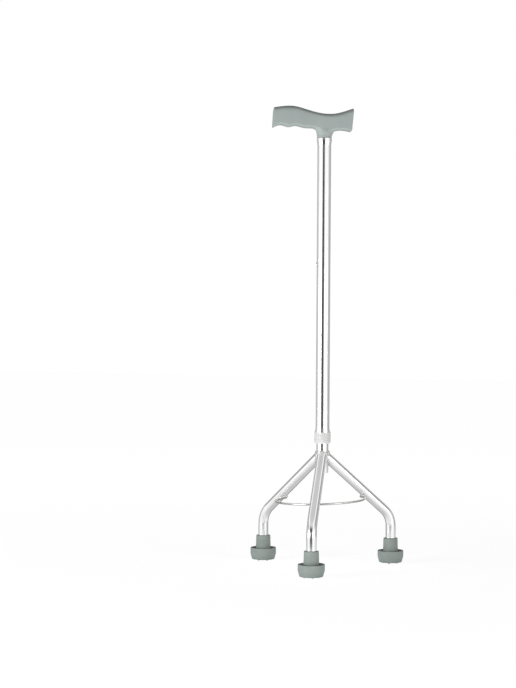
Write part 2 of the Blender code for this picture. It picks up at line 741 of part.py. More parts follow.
def neck_rings(bm, rings):
    """Rings from the opening in the underside down to a round seat on the tube."""
    left, middle, right = rings
    opening = [left[0], middle[0], right[0], right[7], right[6], middle[6], left[6], left[7]]
    limit_share = (2 + math.cos(TURN / 8)) / 3
    seat_r = NECK_OD / 2 / limit_share
    upper = opening
    for height, growth, lean in NECK_RINGS:
        lower = []
        for vert in opening:
            eighth = round(math.atan2(vert.co.y, vert.co.x) * 8 / TURN) * TURN / 8
            place = polar(seat_r + growth * MM, eighth, height * MM)
            place.x += lean * MM
            lower.append(bm.verts.new(place))
        for j in range(8):
            bm.faces.new((upper[j], upper[(j + 1) % 8], lower[(j + 1) % 8], lower[j]))
        upper = lower
    return upper


def handle(group, cutters, parent, plastic):
    """The moulded grip; its neck sits on the upper tube and its cored spigot stands in it."""
    mesh = grip_cage()
    mesh.materials.append(plastic)
    mesh.shade_smooth()
    grip = add_object("handle", mesh, group, parent)
    round_off = grip.modifiers.new("round", "SUBSURF")
    round_off.levels = 2
    round_off.render_levels = 2
    throat = flare(UPPER_BORE_R - SEAT_GAP, TOP_FLARE, TOP_FLARE_RIM, TOP_FLARE_LENGTH)
    root_r = throat[0][0]
    tip_r = throat[-1][0]
    outline = [
        (0.0, SPIGOT_ROOT),
        (root_r, SPIGOT_ROOT),
        *[(r, -SEAT_GAP - z) for r, z in throat[1:]],
        (tip_r, -SPIGOT_LENGTH + SPIGOT_CHAMFER),
        (tip_r - SPIGOT_CHAMFER, -SPIGOT_LENGTH),
        (0.0, -SPIGOT_LENGTH),
    ]
    spigot = turned("spigot", outline, TUBE_SIDES, cutters, parent)
    add_boolean(grip, as_cutter(spigot), "UNION")
    place = Matrix.Translation((0.0, 0.0, -SPIGOT_LENGTH))
    core = rods_mesh("spigot_core", SPIGOT_CORE / 2, 2 * SPIGOT_CORE_DEPTH, INSERT_SIDES, [place])
    return add_boolean(grip, as_cutter(add_object("spigot_core", core, cutters, parent)))


def build():
    clear_scene()
    parts = collection("tripod_cane")
    cutters = collection("cutters")
    bright = material("polished_aluminium", (0.80, 0.80, 0.80), 0.16, 1.0)
    steel = material("steel", (0.52, 0.51, 0.50), 0.3, 1.0)
    grip_plastic = material("grey_plastic", (0.36, 0.40, 0.40), 0.45, 0.0)
    nut_plastic = material("pale_plastic", (0.72, 0.73, 0.70), 0.35, 0.0)
    rubber = material("grey_rubber", (0.26, 0.30, 0.28), 0.7, 0.0)

    centre_x, centre_y = footprint_centre()
    base = empty("base", parts, location=(-centre_x, -centre_y, SOLE_Z))
    upper = empty("upper_shaft", parts, base, (0.0, 0.0, MOUTH_HEIGHT))
    seat = empty("grip_seat", parts, upper, (0.0, 0.0, UPPER_LENGTH + SEAT_GAP), GRIP_TURN)
    button_axis = empty("button_axis", parts, base, (0.0, 0.0, BUTTON_HEIGHT))

    upper_tube(parts, cutters, upper, bright)
    lower_tube(parts, cutters, base, bright)
    snap_button(parts, button_axis, steel)
    button_spring(parts, button_axis, steel)
    split_bushing(parts, cutters, upper, nut_plastic)
    lock_nut(parts, cutters, upper, nut_plastic)
    legs(parts, cutters, base, bright)
    brace_rod(parts, base, steel)
    feet(parts, cutters, base, rubber, steel)
    handle(parts, cutters, seat, grip_plastic)


build()
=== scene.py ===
"""Looks of the tripod cane: a finished surface for every CAD solid, studio light and the photograph's view.

Metres, +Z up, in the CAD model's own frame. The snap button and the row of holes face -X, the
grip is turned from there, and the front leg points nearly to -Y. Places and heights are read from
the CAD solids; the other sizes repeat the CAD's. A size is written in millimetres times MM.
"""

import math

import bmesh
import bpy
import numpy as np
from mathutils import Matrix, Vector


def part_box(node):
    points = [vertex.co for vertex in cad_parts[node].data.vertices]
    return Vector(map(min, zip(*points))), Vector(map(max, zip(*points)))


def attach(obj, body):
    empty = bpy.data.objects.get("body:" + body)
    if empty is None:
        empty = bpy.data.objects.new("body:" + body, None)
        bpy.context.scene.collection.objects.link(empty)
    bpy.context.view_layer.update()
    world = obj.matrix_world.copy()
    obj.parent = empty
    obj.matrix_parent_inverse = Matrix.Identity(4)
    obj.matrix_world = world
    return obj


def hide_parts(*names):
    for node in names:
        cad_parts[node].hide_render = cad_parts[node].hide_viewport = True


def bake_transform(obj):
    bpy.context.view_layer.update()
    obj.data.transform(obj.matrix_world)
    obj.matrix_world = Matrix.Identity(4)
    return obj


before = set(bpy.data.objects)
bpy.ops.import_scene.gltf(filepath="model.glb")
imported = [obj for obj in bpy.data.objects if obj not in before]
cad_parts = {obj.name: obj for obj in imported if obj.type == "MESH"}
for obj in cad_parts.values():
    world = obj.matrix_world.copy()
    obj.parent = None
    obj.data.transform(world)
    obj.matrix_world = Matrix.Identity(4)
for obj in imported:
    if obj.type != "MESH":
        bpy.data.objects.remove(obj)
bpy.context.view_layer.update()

MM = 0.001
TURN = math.tau

# Points closer than WELD become one, edges over SHARP stay sharp, and EASED rounds small edges
WELD = 0.002 * MM
SHARP = math.radians(42.0)
EASED = 0.15 * MM

# Tubes and their lips
UPPER_R = 11.0 * MM
UPPER_WALL = 1.0 * MM
LOWER_R = 9.7 * MM
LOWER_WALL = 1.2 * MM
# How much a flare adds, how far its rim goes, and its length
TOP_FLARE = (1.1 * MM, 3.0 * MM, 11.5 * MM)
MOUTH_FLARE = (1.0 * MM, 5.0 * MM, 16.0 * MM)
TUBE_LIP = 0.3 * MM
TUBE_COLUMNS = 72
CELL_COLUMNS = 10
CELL_ROWS = 12
CELL_HALF_ANGLE = 0.6
# Rows of points below and above the holes
LOW_ROWS = 26
HIGH_ROWS = 90

# Row of holes and the snap button
HOLE_R = 4.2 * MM
HOLE_LIP = 0.15 * MM
HOLE_PITCH = 19.05 * MM
HOLES = 13
BUTTON_R = 3.9 * MM
BUTTON_FLANGE = 0.9 * MM
BUTTON_FLANGE_THICKNESS = 1.0 * MM
BUTTON_DOME = 1.5 * MM
SPRING_WIDTH = 7.0 * MM
SPRING_THICKNESS = 0.5 * MM
SPRING_FOLD_R = 1.8 * MM
SPRING_BEND = 2.0 * MM
SPRING_PAD = 12.0 * MM
SPRING_TOE = 3.0 * MM

# Clamp
SLIDING_BORE_R = 10.0 * MM
BUSHING_R = 11.9 * MM
BUSHING_TAPER_R = 10.7 * MM
BUSHING_SLEEVE_R = 10.7 * MM
BUSHING_SLEEVE_LENGTH = 5.5 * MM
BUSHING_TAPER_LENGTH = 3.2 * MM
BUSHING_SLOTS = 4
BUSHING_SLOT = 1.2 * MM
BUSHING_SLOT_LENGTH = 7.4 * MM
NUT_R = 13.2 * MM
NUT_BORE_R = 12.3 * MM
NUT_TAPER_R = 11.0 * MM
NUT_FLOOR = 1.6 * MM
NUT_TAPER_LENGTH = 3.5 * MM
NUT_TOP_ROUND = 0.5 * MM
NUT_BORE_ROUND = 0.2 * MM
NUT_FOOT_ROUND = 2.6 * MM
NUT_FOOT_RISE = 5.0 * MM
NUT_FLUTES = 8
NUT_COLUMNS = 36
FLUTE_R = 5.0 * MM
FLUTE_DEPTH = 0.4 * MM
FLUTE_FADE = 0.7 * MM
FLUTE_ABOVE_FOOT = 3.0 * MM
FLUTE_BELOW_TOP = 1.5 * MM

# Legs, brace and welds
LEG_R = 8.0 * MM
LEG_WALL = 1.5 * MM
LEG_SLOPE = math.radians(40.9)
LEG_CORNER_HEIGHT = 75.4 * MM
LEG_BEND_RADIUS = 36.0 * MM
LEG_AZIMUTHS = {"right": math.radians(45.0), "left": math.radians(165.0), "front": math.radians(285.0)}
LEG_COLUMNS = 56
LEG_SADDLE_R = 9.75 * MM
FOOT_REACH = 121.0 * MM
ROD_R = 1.6 * MM
ROD_ROUND = 0.5 * MM
BRACE_RADIUS = 71.4 * MM
BRACE_SLIDE = 2.9 * MM
BRACE_SLIDE_AZIMUTH = math.radians(202.5)
BRACE_OVERRUN = math.radians(2.0)
SEAM_R = 2.3 * MM
SEAM_RIPPLE = 1.5 * MM
SEAM_FLATNESS = 0.8
SEAM_WAVE = 0.06
SEAM_UNEVEN = 0.04
TACK_HALF_LENGTH = 5.2 * MM
TACK_HALF_WIDTH = 2.9 * MM
TACK_HEIGHT = 1.9 * MM
TACK_WAVE = 0.05

# Feet and studs
FOOT_HEIGHT = 39.0 * MM
FOOT_FLOOR = 9.5 * MM
SOCKET_R = 8.3 * MM
NECK_TOP_R = 11.5 * MM
NECK_FOOT_R = 12.2 * MM
MOAT_R = 14.4 * MM
MOAT_FLOOR = 16.4 * MM
FLANGE_R = 20.9 * MM
FLANGE_HEIGHT = 18.8 * MM
FLANGE_SIDE = 9.3 * MM
RIM_CREST = 1.6 * MM
RIM_DISH = 1.1 * MM
SOLE_R = 18.3 * MM
SOLE_HEIGHT = 2.5 * MM
FOOT_ROUND = 0.9 * MM
INSERT_R = 8.0 * MM
INSERT_BORE_R = 2.5 * MM
INSERT_THICKNESS = 1.5 * MM
STUDS = 5
STUD_CIRCLE = 11.9 * MM
STUD_TURN = math.radians(18.0)
STUD_R = 2.2 * MM
STUD_SHANK_R = 1.5 * MM
STUD_COLLAR = 1.2 * MM
STUD_SHANK = 4.6 * MM
STUD_POINT_R = 0.3 * MM
STUD_ROUND = 0.2 * MM

# The sole's cell round each stud: half its depth and angle, and its steps
STUD_CELL = 4.0 * MM
STUD_CELL_ANGLE = TURN / 20
STUD_CELL_COLUMNS = 12
STUD_CELL_ROWS = 8

# The gap between a piece and what it rests on
SEAT_GAP = 0.3 * MM


# Places that the CAD solids give, and directions

upper_low, upper_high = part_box("upper_tube")
lower_low, lower_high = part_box("lower_tube")
nut_low, nut_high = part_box("lock_nut")
bushing_low, bushing_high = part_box("split_bushing")
button_low, button_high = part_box("snap_button")
STEM = np.array([(upper_low.x + upper_high.x) / 2, (upper_low.y + upper_high.y) / 2, 0.0])
MOUTH_Z = upper_low.z
TUBE_TOP_Z = upper_high.z
GRIP_SEAT_Z = TUBE_TOP_Z + SEAT_GAP
BUTTON_Z = (button_low.z + button_high.z) / 2
LEG_JOIN_Z = SOLE_HEIGHT + LEG_CORNER_HEIGHT + FOOT_REACH * math.tan(LEG_SLOPE)
SIDEWAYS = np.array([[0.0, 1.0, 0.0]])
LEG_RUN = np.array([math.cos(LEG_SLOPE), 0.0, -math.sin(LEG_SLOPE)])
LEG_UP = np.array([math.sin(LEG_SLOPE), 0.0, math.cos(LEG_SLOPE)])
SLIDE_WAY = np.array([math.cos(BRACE_SLIDE_AZIMUTH), math.sin(BRACE_SLIDE_AZIMUTH), 0.0])


# Surfaces


def grid_quads(rows, columns, close_rows=False):
    """Corner numbers of every cell of a grid of points that are numbered row by row.

    A row's last point joins its first, and the last row joins the first one if the rows are closed.
    """
    r, c = np.meshgrid(np.arange(rows if close_rows else rows - 1), np.arange(columns), indexing="ij")
    r_next = (r + 1) % rows
    c_next = (c + 1) % columns
    corners = [(r, c), (r, c_next), (r_next, c_next), (r_next, c)]
    return np.stack([row * columns + column for row, column in corners], -1)


def circle(angles):
    return np.stack([np.cos(angles), np.sin(angles)], -1)


def full_turn(columns):
    return np.arange(columns) * TURN / columns


def unit(vectors):
    return vectors / np.linalg.norm(vectors, axis=-1, keepdims=True)


def raised(flat, heights):
    """Rows of flat points, each row at its own height."""
    return np.concatenate([flat, np.broadcast_to(heights[:, None, None], flat.shape[:2] + (1,))], -1)


def spun(profile, angles):
    """Points of a turned surface: each (radius, height) pair of the profile carried round to each angle."""
    radius, height = np.asarray(profile, float).T
    return raised(radius[:, None, None] * circle(angles), height)


def upright(pairs):
    """Points in the plane of X and Z, from pairs of the two."""
    return np.insert(pairs, 1, 0.0, axis=-1)


def softened(corners, reach, steps=5):
    """A profile with every corner replaced by a quadratic curve.

    The curve starts and ends at most reach from the corner, or two fifths of the way to the next.
    The first and the last corner stay.
    """
    corners = np.asarray(corners, float)
    at = corners[1:-1, None]
    back = corners[:-2, None] - at
    ahead = corners[2:, None] - at
    back_length = np.linalg.norm(back, axis=-1, keepdims=True)
    ahead_length = np.linalg.norm(ahead, axis=-1, keepdims=True)
    start = at + back * np.minimum(reach / back_length, 0.4)
    end = at + ahead * np.minimum(reach / ahead_length, 0.4)
    s = np.linspace(0.0, 1.0, steps)[None, :, None]
    curve = (1 - s) ** 2 * start + 2 * s * (1 - s) * at + s**2 * end
    return np.vstack([corners[:1], curve.reshape(-1, 2), corners[-1:]])


def closed_profile(corners, reach, steps=3):
    """A softened ring of corners, as rows that end where they start."""
    corners = np.asarray(corners, float)
    ring = np.vstack([corners[-1:], corners, corners[:1]])
    return softened(ring, reach, steps)[1:-1]


def flared(distance, spread, rim, length):
    """How much wider a tube is at a distance from its end.

    It is all of the spread on the rim, then half a cosine wave down to nothing at the length.
    """
    share = np.clip((distance - rim) / (length - rim), 0.0, 1.0)
    return spread * (1 + np.cos(share * TURN / 2)) / 2


def rectangle_edge(across, along):
    """Points round the edge of the square from -1 to 1, anticlockwise, with so many steps a side."""
    a = np.linspace(-1.0, 1.0, across + 1)
    b = np.linspace(-1.0, 1.0, along + 1)
    u = np.concatenate([a[:-1], np.ones(along), a[:0:-1], -np.ones(along)])
    v = np.concatenate([-np.ones(across), b[:-1], np.ones(across), b[:0:-1]])
    return u, v


def hole_patches(radius, wall, heights):
    """The tube's skin round each hole, from the outside's cell edge through the hole to the bore's.

    A ring of points is the drilled circle, at angle arcsin(y / radius) on the tube, moved towards
    the cell's edge by its share. The table gives each ring's share, depth in the wall and rounding.
    """
    lip = HOLE_LIP
    share = np.array([1.0, 0.55, 0.2, 0, 0, 0, 0, 0, 0, 0.2, 0.55, 1.0])
    depth = np.array([0, 0, 0, 0, 0.3 * lip, lip, wall - lip, wall - 0.3 * lip, wall, wall, wall, wall])
    growth = np.array([1, 1, 1, 1, 0.3, 0, 0, 0.3, 1, 1, 1, 1]) * lip
    u, v = rectangle_edge(CELL_COLUMNS, CELL_ROWS)
    edge_angle = u * CELL_HALF_ANGLE
    edge_height = v * HOLE_PITCH / 2
    way = np.arctan2(edge_height, edge_angle * radius)
    at = (radius - depth)[:, None]
    drill = (HOLE_R + growth)[:, None]
    angle = np.arcsin(drill * np.cos(way) / at)
    angle = angle + (edge_angle - angle) * share[:, None]
    height = drill * np.sin(way)
    height = height + (edge_height - height) * share[:, None]
    one = np.stack([-at * np.cos(angle), -at * np.sin(angle), height], -1)
    return np.stack([one + (0.0, 0.0, middle) for middle in heights])


def patched(points, quads, patches):
    """The points and quads of a turned skin together with those of the patches that fill its gaps."""
    rings, around = patches.shape[1:3]
    offsets = np.arange(len(patches))[:, None, None, None] * rings * around + points.size // 3
    patch_quads = grid_quads(rings, around) + offsets
    all_points = np.vstack([points.reshape(-1, 3), patches.reshape(-1, 3)])
    return all_points, np.vstack([quads, patch_quads.reshape(-1, 4)])


def drilled_tube(low, high, radius, wall, widening, holes):
    """A tube's skin, up the outside, over the top lip, down the bore and over the foot lip.

    The radius is the plain one plus the widening at each height. A lip is half a superellipse across
    the wall. The cells round the holes are left out of the grid and filled by the holes' patches.
    """
    first = holes[0] - HOLE_PITCH / 2
    last = holes[-1] + HOLE_PITCH / 2
    cells = CELL_ROWS * len(holes)
    below = np.linspace(low + TUBE_LIP, first, LOW_ROWS)[:-1]
    above = np.linspace(last, high - TUBE_LIP, HIGH_ROWS)[1:]
    heights = np.concatenate([below, np.linspace(first, last, cells + 1), above])
    skin = radius + widening(heights)
    t = np.linspace(0.0, TURN / 2, 8)[1:-1]
    side = np.sign(np.cos(t)) * np.sqrt(np.abs(np.cos(t)))
    rise = np.sqrt(np.sin(t))
    top_lip = np.stack([skin[-1] - wall / 2 + side * wall / 2, high - TUBE_LIP + rise * TUBE_LIP], -1)
    foot_lip = np.stack([skin[0] - wall / 2 - side * wall / 2, low + TUBE_LIP - rise * TUBE_LIP], -1)
    outside = np.stack([skin, heights], -1)
    bore = np.stack([skin - wall, heights], -1)[::-1]
    profile = np.vstack([outside, top_lip, bore, foot_lip])
    strip = TURN / 2 + np.linspace(-CELL_HALF_ANGLE, CELL_HALF_ANGLE, CELL_COLUMNS + 1)
    rest = np.linspace(strip[-1], strip[0] + TURN, TUBE_COLUMNS + 2)[1:-1]
    points = spun(profile, np.concatenate([strip, rest]))
    quads = grid_quads(*points.shape[:2], close_rows=True)
    keep = np.ones(quads.shape[:2], bool)
    outer = len(below)
    inner = len(heights) + len(top_lip) + len(above)
    for start in (outer, inner):
        keep[start : start + cells, :CELL_COLUMNS] = False
    return patched(points, quads[keep], hole_patches(radius, wall, holes))


def carried(centres, across, up, section):
    """Points of a section carried along a path: centre plus the section's two parts along across and up."""
    return centres[:, None] + section[None, :, :1] * across[:, None] + section[None, :, 1:] * up[:, None]


def turned_about(points, azimuth, place):
    """Points turned about +Z by the azimuth and then moved to a place."""
    c, s = math.cos(azimuth), math.sin(azimuth)
    turn = np.array([[c, s, 0.0], [-s, c, 0.0], [0.0, 0.0, 1.0]])
    return points @ turn + place


# Pieces. A look is a material and the name of its slot


def put(name, data):
    """A new object in the scene."""
    made = bpy.data.objects.new(name, data)
    bpy.context.scene.collection.objects.link(made)
    return made


def cleaned(mesh, weld=None):
    """Merges points that lie closer than the weld, turns the faces outward and shades them smooth."""
    bm = bmesh.new()
    bm.from_mesh(mesh)
    if weld:
        bmesh.ops.remove_doubles(bm, verts=bm.verts, dist=weld)
    bmesh.ops.recalc_face_normals(bm, faces=bm.faces)
    bm.to_mesh(mesh)
    bm.free()
    mesh.shade_smooth()


def placed(name, mesh, look, body, nodes):
    finish, slot = look
    mesh.materials.append(finish)
    piece = put(name, mesh)
    if body:
        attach(piece, body)
    if nodes:
        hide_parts(*nodes)
    return piece


def finished(name, points, quads, look, body, nodes, straight=None):
    """Makes a piece: doubles merged, faces outward, edges sharper than the limit kept sharp.

    straight is where each point would lie if the tube it belongs to were straight.
    """
    mesh = bpy.data.meshes.new(name)
    mesh.from_pydata(points.reshape(-1, 3).tolist(), [], quads.reshape(-1, 4).tolist())
    if straight is not None:
        layer = mesh.attributes.new("straight", "FLOAT_VECTOR", "POINT")
        layer.data.foreach_set("vector", np.asarray(straight, np.float32).ravel())
    cleaned(mesh, WELD)
    mesh.set_sharp_from_angle(angle=SHARP)
    return placed(name, mesh, look, body, nodes)


def finished_grid(name, points, look, body, nodes, close_rows=False, straight=None):
    """A piece whose skin is one grid of points."""
    quads = grid_quads(*points.shape[:2], close_rows)
    return finished(name, points, quads, look, body, nodes, straight)


def make_upper_tube(look):
    """The outer shaft: belled top and mouth, and thirteen holes down the -X side."""

    def widening(height):
        return flared(TUBE_TOP_Z - height, *TOP_FLARE) + flared(height - MOUTH_Z, *MOUTH_FLARE)

    holes = BUTTON_Z - np.arange(HOLES)[::-1] * HOLE_PITCH
    points, quads = drilled_tube(MOUTH_Z, TUBE_TOP_Z, UPPER_R, UPPER_WALL, widening, holes)
    return finished("outer_shaft", points + STEM, quads, look, "shaft", ["upper_tube"], points)


def make_lower_tube(look):
    """The inner shaft: a plain tube with the button's hole."""
    holes = np.array([BUTTON_Z])
    points, quads = drilled_tube(lower_low.z, lower_high.z, LOWER_R, LOWER_WALL, np.zeros_like, holes)
    return finished("inner_shaft", points + STEM, quads, look, "base", ["lower_tube"], points)


def make_button(look):
    """The snap button: a flanged pin whose dome is a quarter of an ellipse, turned to point to -X."""
    reach = STEM[0] - button_low.x
    root = STEM[0] - button_high.x
    t = np.linspace(0.0, TURN / 4, 14)
    dome = np.stack([BUTTON_R * np.sin(t), reach - BUTTON_DOME + BUTTON_DOME * np.cos(t)], -1)
    flange_r = BUTTON_R + BUTTON_FLANGE
    shoulder = root + BUTTON_FLANGE_THICKNESS
    corners = [dome[-1], (BUTTON_R, shoulder), (flange_r, shoulder), (flange_r, root), (0.0, root)]
    points = spun(np.vstack([dome, softened(corners, EASED)[1:]]), full_turn(48))
    points = np.stack([-points[..., 2], points[..., 1], points[..., 0] + BUTTON_Z], -1) + STEM
    return finished_grid("button", points, look, "button", ["snap_button"])


def make_spring(look):
    """The folded leaf spring: a rounded strip along a pad, a round fold and a leaf on the far wall.

    It sits between the button and the inner shaft.
    """
    low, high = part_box("button_spring")
    half = SPRING_THICKNESS / 2
    near = low.x + half - STEM[0]
    far = high.x - half - STEM[0]
    fold_z = low.z + half + SPRING_FOLD_R
    pad_z = high.z - SPRING_PAD
    pad = softened([(near, high.z), (near, pad_z), (-SPRING_FOLD_R, fold_z)], SPRING_BEND)
    fold = SPRING_FOLD_R * circle(np.linspace(TURN / 2, TURN, 13)) + (0.0, fold_z)
    leaf = softened([fold[-1], (far, pad_z), (far, high.z - SPRING_TOE)], SPRING_BEND)
    path = np.vstack([pad[:-1], fold, leaf[1:]])
    along = unit(np.gradient(path, axis=0))
    up = upright(np.stack([-along[:, 1], along[:, 0]], -1))
    wide = SPRING_WIDTH / 2
    section = closed_profile([(-wide, -half), (wide, -half), (wide, half), (-wide, half)], EASED)
    points = carried(upright(path), SIDEWAYS, up, section)
    tips = points[[0, -1]].mean(1, keepdims=True).repeat(len(section), 1)
    points = np.vstack([tips[:1], points, tips[1:]]) + STEM
    piece = finished_grid("leaf_spring", points, look, None, ["button_spring"])
    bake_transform(piece)
    return piece


def make_bushing(look):
    """The split bushing. Columns inside a slot have their profile lifted to the slot's top."""
    foot = bushing_low.z
    top = bushing_high.z
    shoulder = top - BUSHING_SLEEVE_LENGTH
    slot_top = foot + BUSHING_SLOT_LENGTH
    profile = [
        (BUSHING_SLEEVE_R, top),
        (BUSHING_SLEEVE_R, shoulder),
        (BUSHING_R, shoulder),
        (BUSHING_R, slot_top),
        (BUSHING_R, foot + BUSHING_TAPER_LENGTH),
        (BUSHING_TAPER_R, foot),
        (SLIDING_BORE_R, foot),
        (SLIDING_BORE_R, slot_top),
        (SLIDING_BORE_R, top),
    ]
    half = BUSHING_SLOT / 2 / BUSHING_R
    quarter = TURN / BUSHING_SLOTS
    slot_angles = np.linspace(-half, half, 4)
    solid_angles = np.linspace(half, quarter - half, 20)
    one = np.concatenate([slot_angles, solid_angles])
    angles = (one[None] + (np.arange(BUSHING_SLOTS) + 0.5)[:, None] * quarter).ravel()
    in_slot = np.tile(np.arange(len(one)) < len(slot_angles), BUSHING_SLOTS)
    points = spun(profile, angles)
    points[:, in_slot, 2] = np.maximum(points[:, in_slot, 2], slot_top)
    return finished_grid("clamp_bushing", points + STEM, look, "shaft", ["split_bushing"], close_rows=True)


def make_nut(look):
    """The lock nut: a turned cup with eight shallow flutes. Its lower corner is a quarter of an ellipse.

    A flute takes sqrt(R^2 - s^2) - (R - depth) off the radius, at s along the skin from its middle,
    and fades out at its ends over a smooth step in height.
    """
    foot = nut_low.z
    top = nut_high.z
    floor = foot + NUT_FLOOR
    t = np.linspace(0.0, TURN / 4, 12)
    belly = np.stack([NUT_R - NUT_FOOT_ROUND * (1 - np.sin(t)), foot + NUT_FOOT_RISE * (1 - np.cos(t))], -1)
    side = np.stack([np.full(30, NUT_R), np.linspace(belly[-1, 1], top - NUT_TOP_ROUND, 30)], -1)
    brim = softened([(NUT_R, top - NUT_TOP_ROUND), (NUT_R, top), (NUT_BORE_R, top)], NUT_TOP_ROUND, 6)
    corners = [
        (NUT_BORE_R, top),
        (NUT_BORE_R, floor + NUT_TAPER_LENGTH),
        (NUT_TAPER_R, floor),
        (SLIDING_BORE_R, floor),
        (SLIDING_BORE_R, foot),
        belly[0],
    ]
    bore = softened(corners, NUT_BORE_ROUND, 4)
    profile = np.vstack([belly, side[1:], brim[2:], bore[1:-1]])
    angles = full_turn(NUT_FLUTES * NUT_COLUMNS)
    points = spun(profile, angles)
    pitch = TURN / NUT_FLUTES
    along = ((angles + pitch / 2) % pitch - pitch / 2) * NUT_R
    hollow = np.sqrt(np.maximum(FLUTE_R**2 - along**2, 0.0)) - (FLUTE_R - FLUTE_DEPTH)
    hollow = np.maximum(hollow, 0.0)
    low_end = np.clip((profile[:, 1] - foot - FLUTE_ABOVE_FOOT) / FLUTE_FADE, 0.0, 1.0)
    high_end = np.clip((top - FLUTE_BELOW_TOP - profile[:, 1]) / FLUTE_FADE, 0.0, 1.0)
    share = low_end * high_end
    fade = share**2 * (3 - 2 * share)
    fade[len(belly) + len(side) - 1 :] = 0.0
    points[..., :2] *= (1 - fade[:, None] * hollow / NUT_R)[..., None]
    return finished_grid("clamp_nut", points + STEM, look, "nut", ["lock_nut"], close_rows=True)


def leg_path():
    """The leg's centre line below its straight slope, in the plane of radius and height.

    Returns the points of the arc and the upright, and how far the path is tilted at each.
    """
    turn = TURN / 4 - LEG_SLOPE
    bend_start = LEG_BEND_RADIUS * math.tan(turn / 2)
    middle = np.array([FOOT_REACH - LEG_BEND_RADIUS, SOLE_HEIGHT + LEG_CORNER_HEIGHT - bend_start])
    angle = np.linspace(turn, 0.0, 40)
    arc = middle + LEG_BEND_RADIUS * circle(angle)
    foot = SOLE_HEIGHT + FOOT_FLOOR + INSERT_THICKNESS + 2 * SEAT_GAP
    down = np.stack([np.full(24, FOOT_REACH), np.linspace(arc[-1, 1], foot, 24)], -1)[1:]
    return np.vstack([arc, down]), np.concatenate([angle, np.zeros(len(down))])


def saddle_distance(radius, a):
    """How far down the leg from the shaft's axis each line of a leg's surface meets the shaft.

    It is (sqrt(saddle^2 - (r sin a)^2) - r cos a sin slope) / cos slope.
    """
    meets = np.sqrt(LEG_SADDLE_R**2 - (radius * np.sin(a)) ** 2)
    return (meets - radius * np.cos(a) * math.sin(LEG_SLOPE)) / math.cos(LEG_SLOPE)


def leg_skin(radius):
    """A leg's surface of one radius, from the saddle on the shaft down to its end."""
    a = full_turn(LEG_COLUMNS)
    path, tilt = leg_path()
    section = radius * circle(a)
    bent = carried(upright(path), upright(circle(tilt)), SIDEWAYS, section)
    total = path[0, 0] / math.cos(LEG_SLOPE)
    share = (np.linspace(0.0, 1.0, 40)[:-1] ** 1.5)[:, None]
    back = (total - saddle_distance(radius, a)) * (1 - share)
    slope = bent[0][None] - back[..., None] * LEG_RUN
    steps = np.linalg.norm(np.diff(path, axis=0), axis=1)
    length = np.concatenate([[0.0], np.cumsum(steps)])
    along = np.vstack([-back, np.broadcast_to(length[:, None], (len(length), len(a)))])
    ring = np.broadcast_to(section[None], (len(along), len(a), 2))
    return np.vstack([slope, bent]), np.concatenate([ring, along[..., None]], -1)


def make_leg(name, azimuth, look):
    """A leg: its outside down to the end, and its bore back up to the saddle."""
    outside, outside_straight = leg_skin(LEG_R)
    bore, bore_straight = leg_skin(LEG_R - LEG_WALL)
    points = turned_about(np.concatenate([outside, bore[::-1]]), azimuth, STEM)
    straight = np.concatenate([outside_straight, bore_straight[::-1]]) + (0.0, 0.0, azimuth)
    return finished_grid(f"{name}_leg", points, look, "base", [f"leg_{name}"], True, straight)


def make_seam(name, azimuth, look):
    """The weld round a leg's top: a bead on the line where leg and shaft meet.

    Its radius swells along the line as laid drops do: a row of rounded waves, each 1.5 mm long,
    of uneven height.
    """
    a = full_turn(300)
    out = np.cos(a)[:, None] * LEG_UP + np.sin(a)[:, None] * SIDEWAYS
    line = (0.0, 0.0, LEG_JOIN_Z) + saddle_distance(LEG_R, a)[:, None] * LEG_RUN + LEG_R * out
    ahead = np.roll(line, -1, axis=0) - np.roll(line, 1, axis=0)
    across = np.cross(out, unit(ahead))
    length = np.cumsum(np.linalg.norm(ahead, axis=1)) / 2
    phase = length / length[-1] * np.round(length[-1] / SEAM_RIPPLE)
    drops = SEAM_WAVE * np.abs(np.sin(phase * TURN / 2)) + SEAM_UNEVEN * np.sin(phase * 1.7 + azimuth * 9)
    size = (SEAM_R * (1 + drops))[:, None]
    points = carried(line, across * size, out * size * SEAM_FLATNESS, circle(full_turn(20)))
    points = turned_about(points, azimuth, STEM)
    return finished_grid(f"{name}_leg_weld", points, look, "base", [], close_rows=True)


def brace_points(angle):
    """Points of the brace's centre line: a circle, slid off the shaft's axis and leaning with the slide."""
    drop = (LEG_R + ROD_R + SEAT_GAP) / math.cos(LEG_SLOPE)
    height = LEG_JOIN_Z - BRACE_RADIUS * math.tan(LEG_SLOPE) - drop
    tilt = math.atan(BRACE_SLIDE * math.tan(LEG_SLOPE) / BRACE_RADIUS)
    ring = BRACE_RADIUS * np.insert(circle(angle), 2, 0.0, axis=-1)
    hinge = np.array([-SLIDE_WAY[1], SLIDE_WAY[0], 0.0])
    leaning = SLIDE_WAY * math.cos(tilt) + np.cross(hinge, SLIDE_WAY) * math.sin(tilt)
    tilted = (ring @ SLIDE_WAY)[:, None] * leaning + (ring @ hinge)[:, None] * hinge
    return tilted + BRACE_SLIDE * SLIDE_WAY + (0.0, 0.0, height)


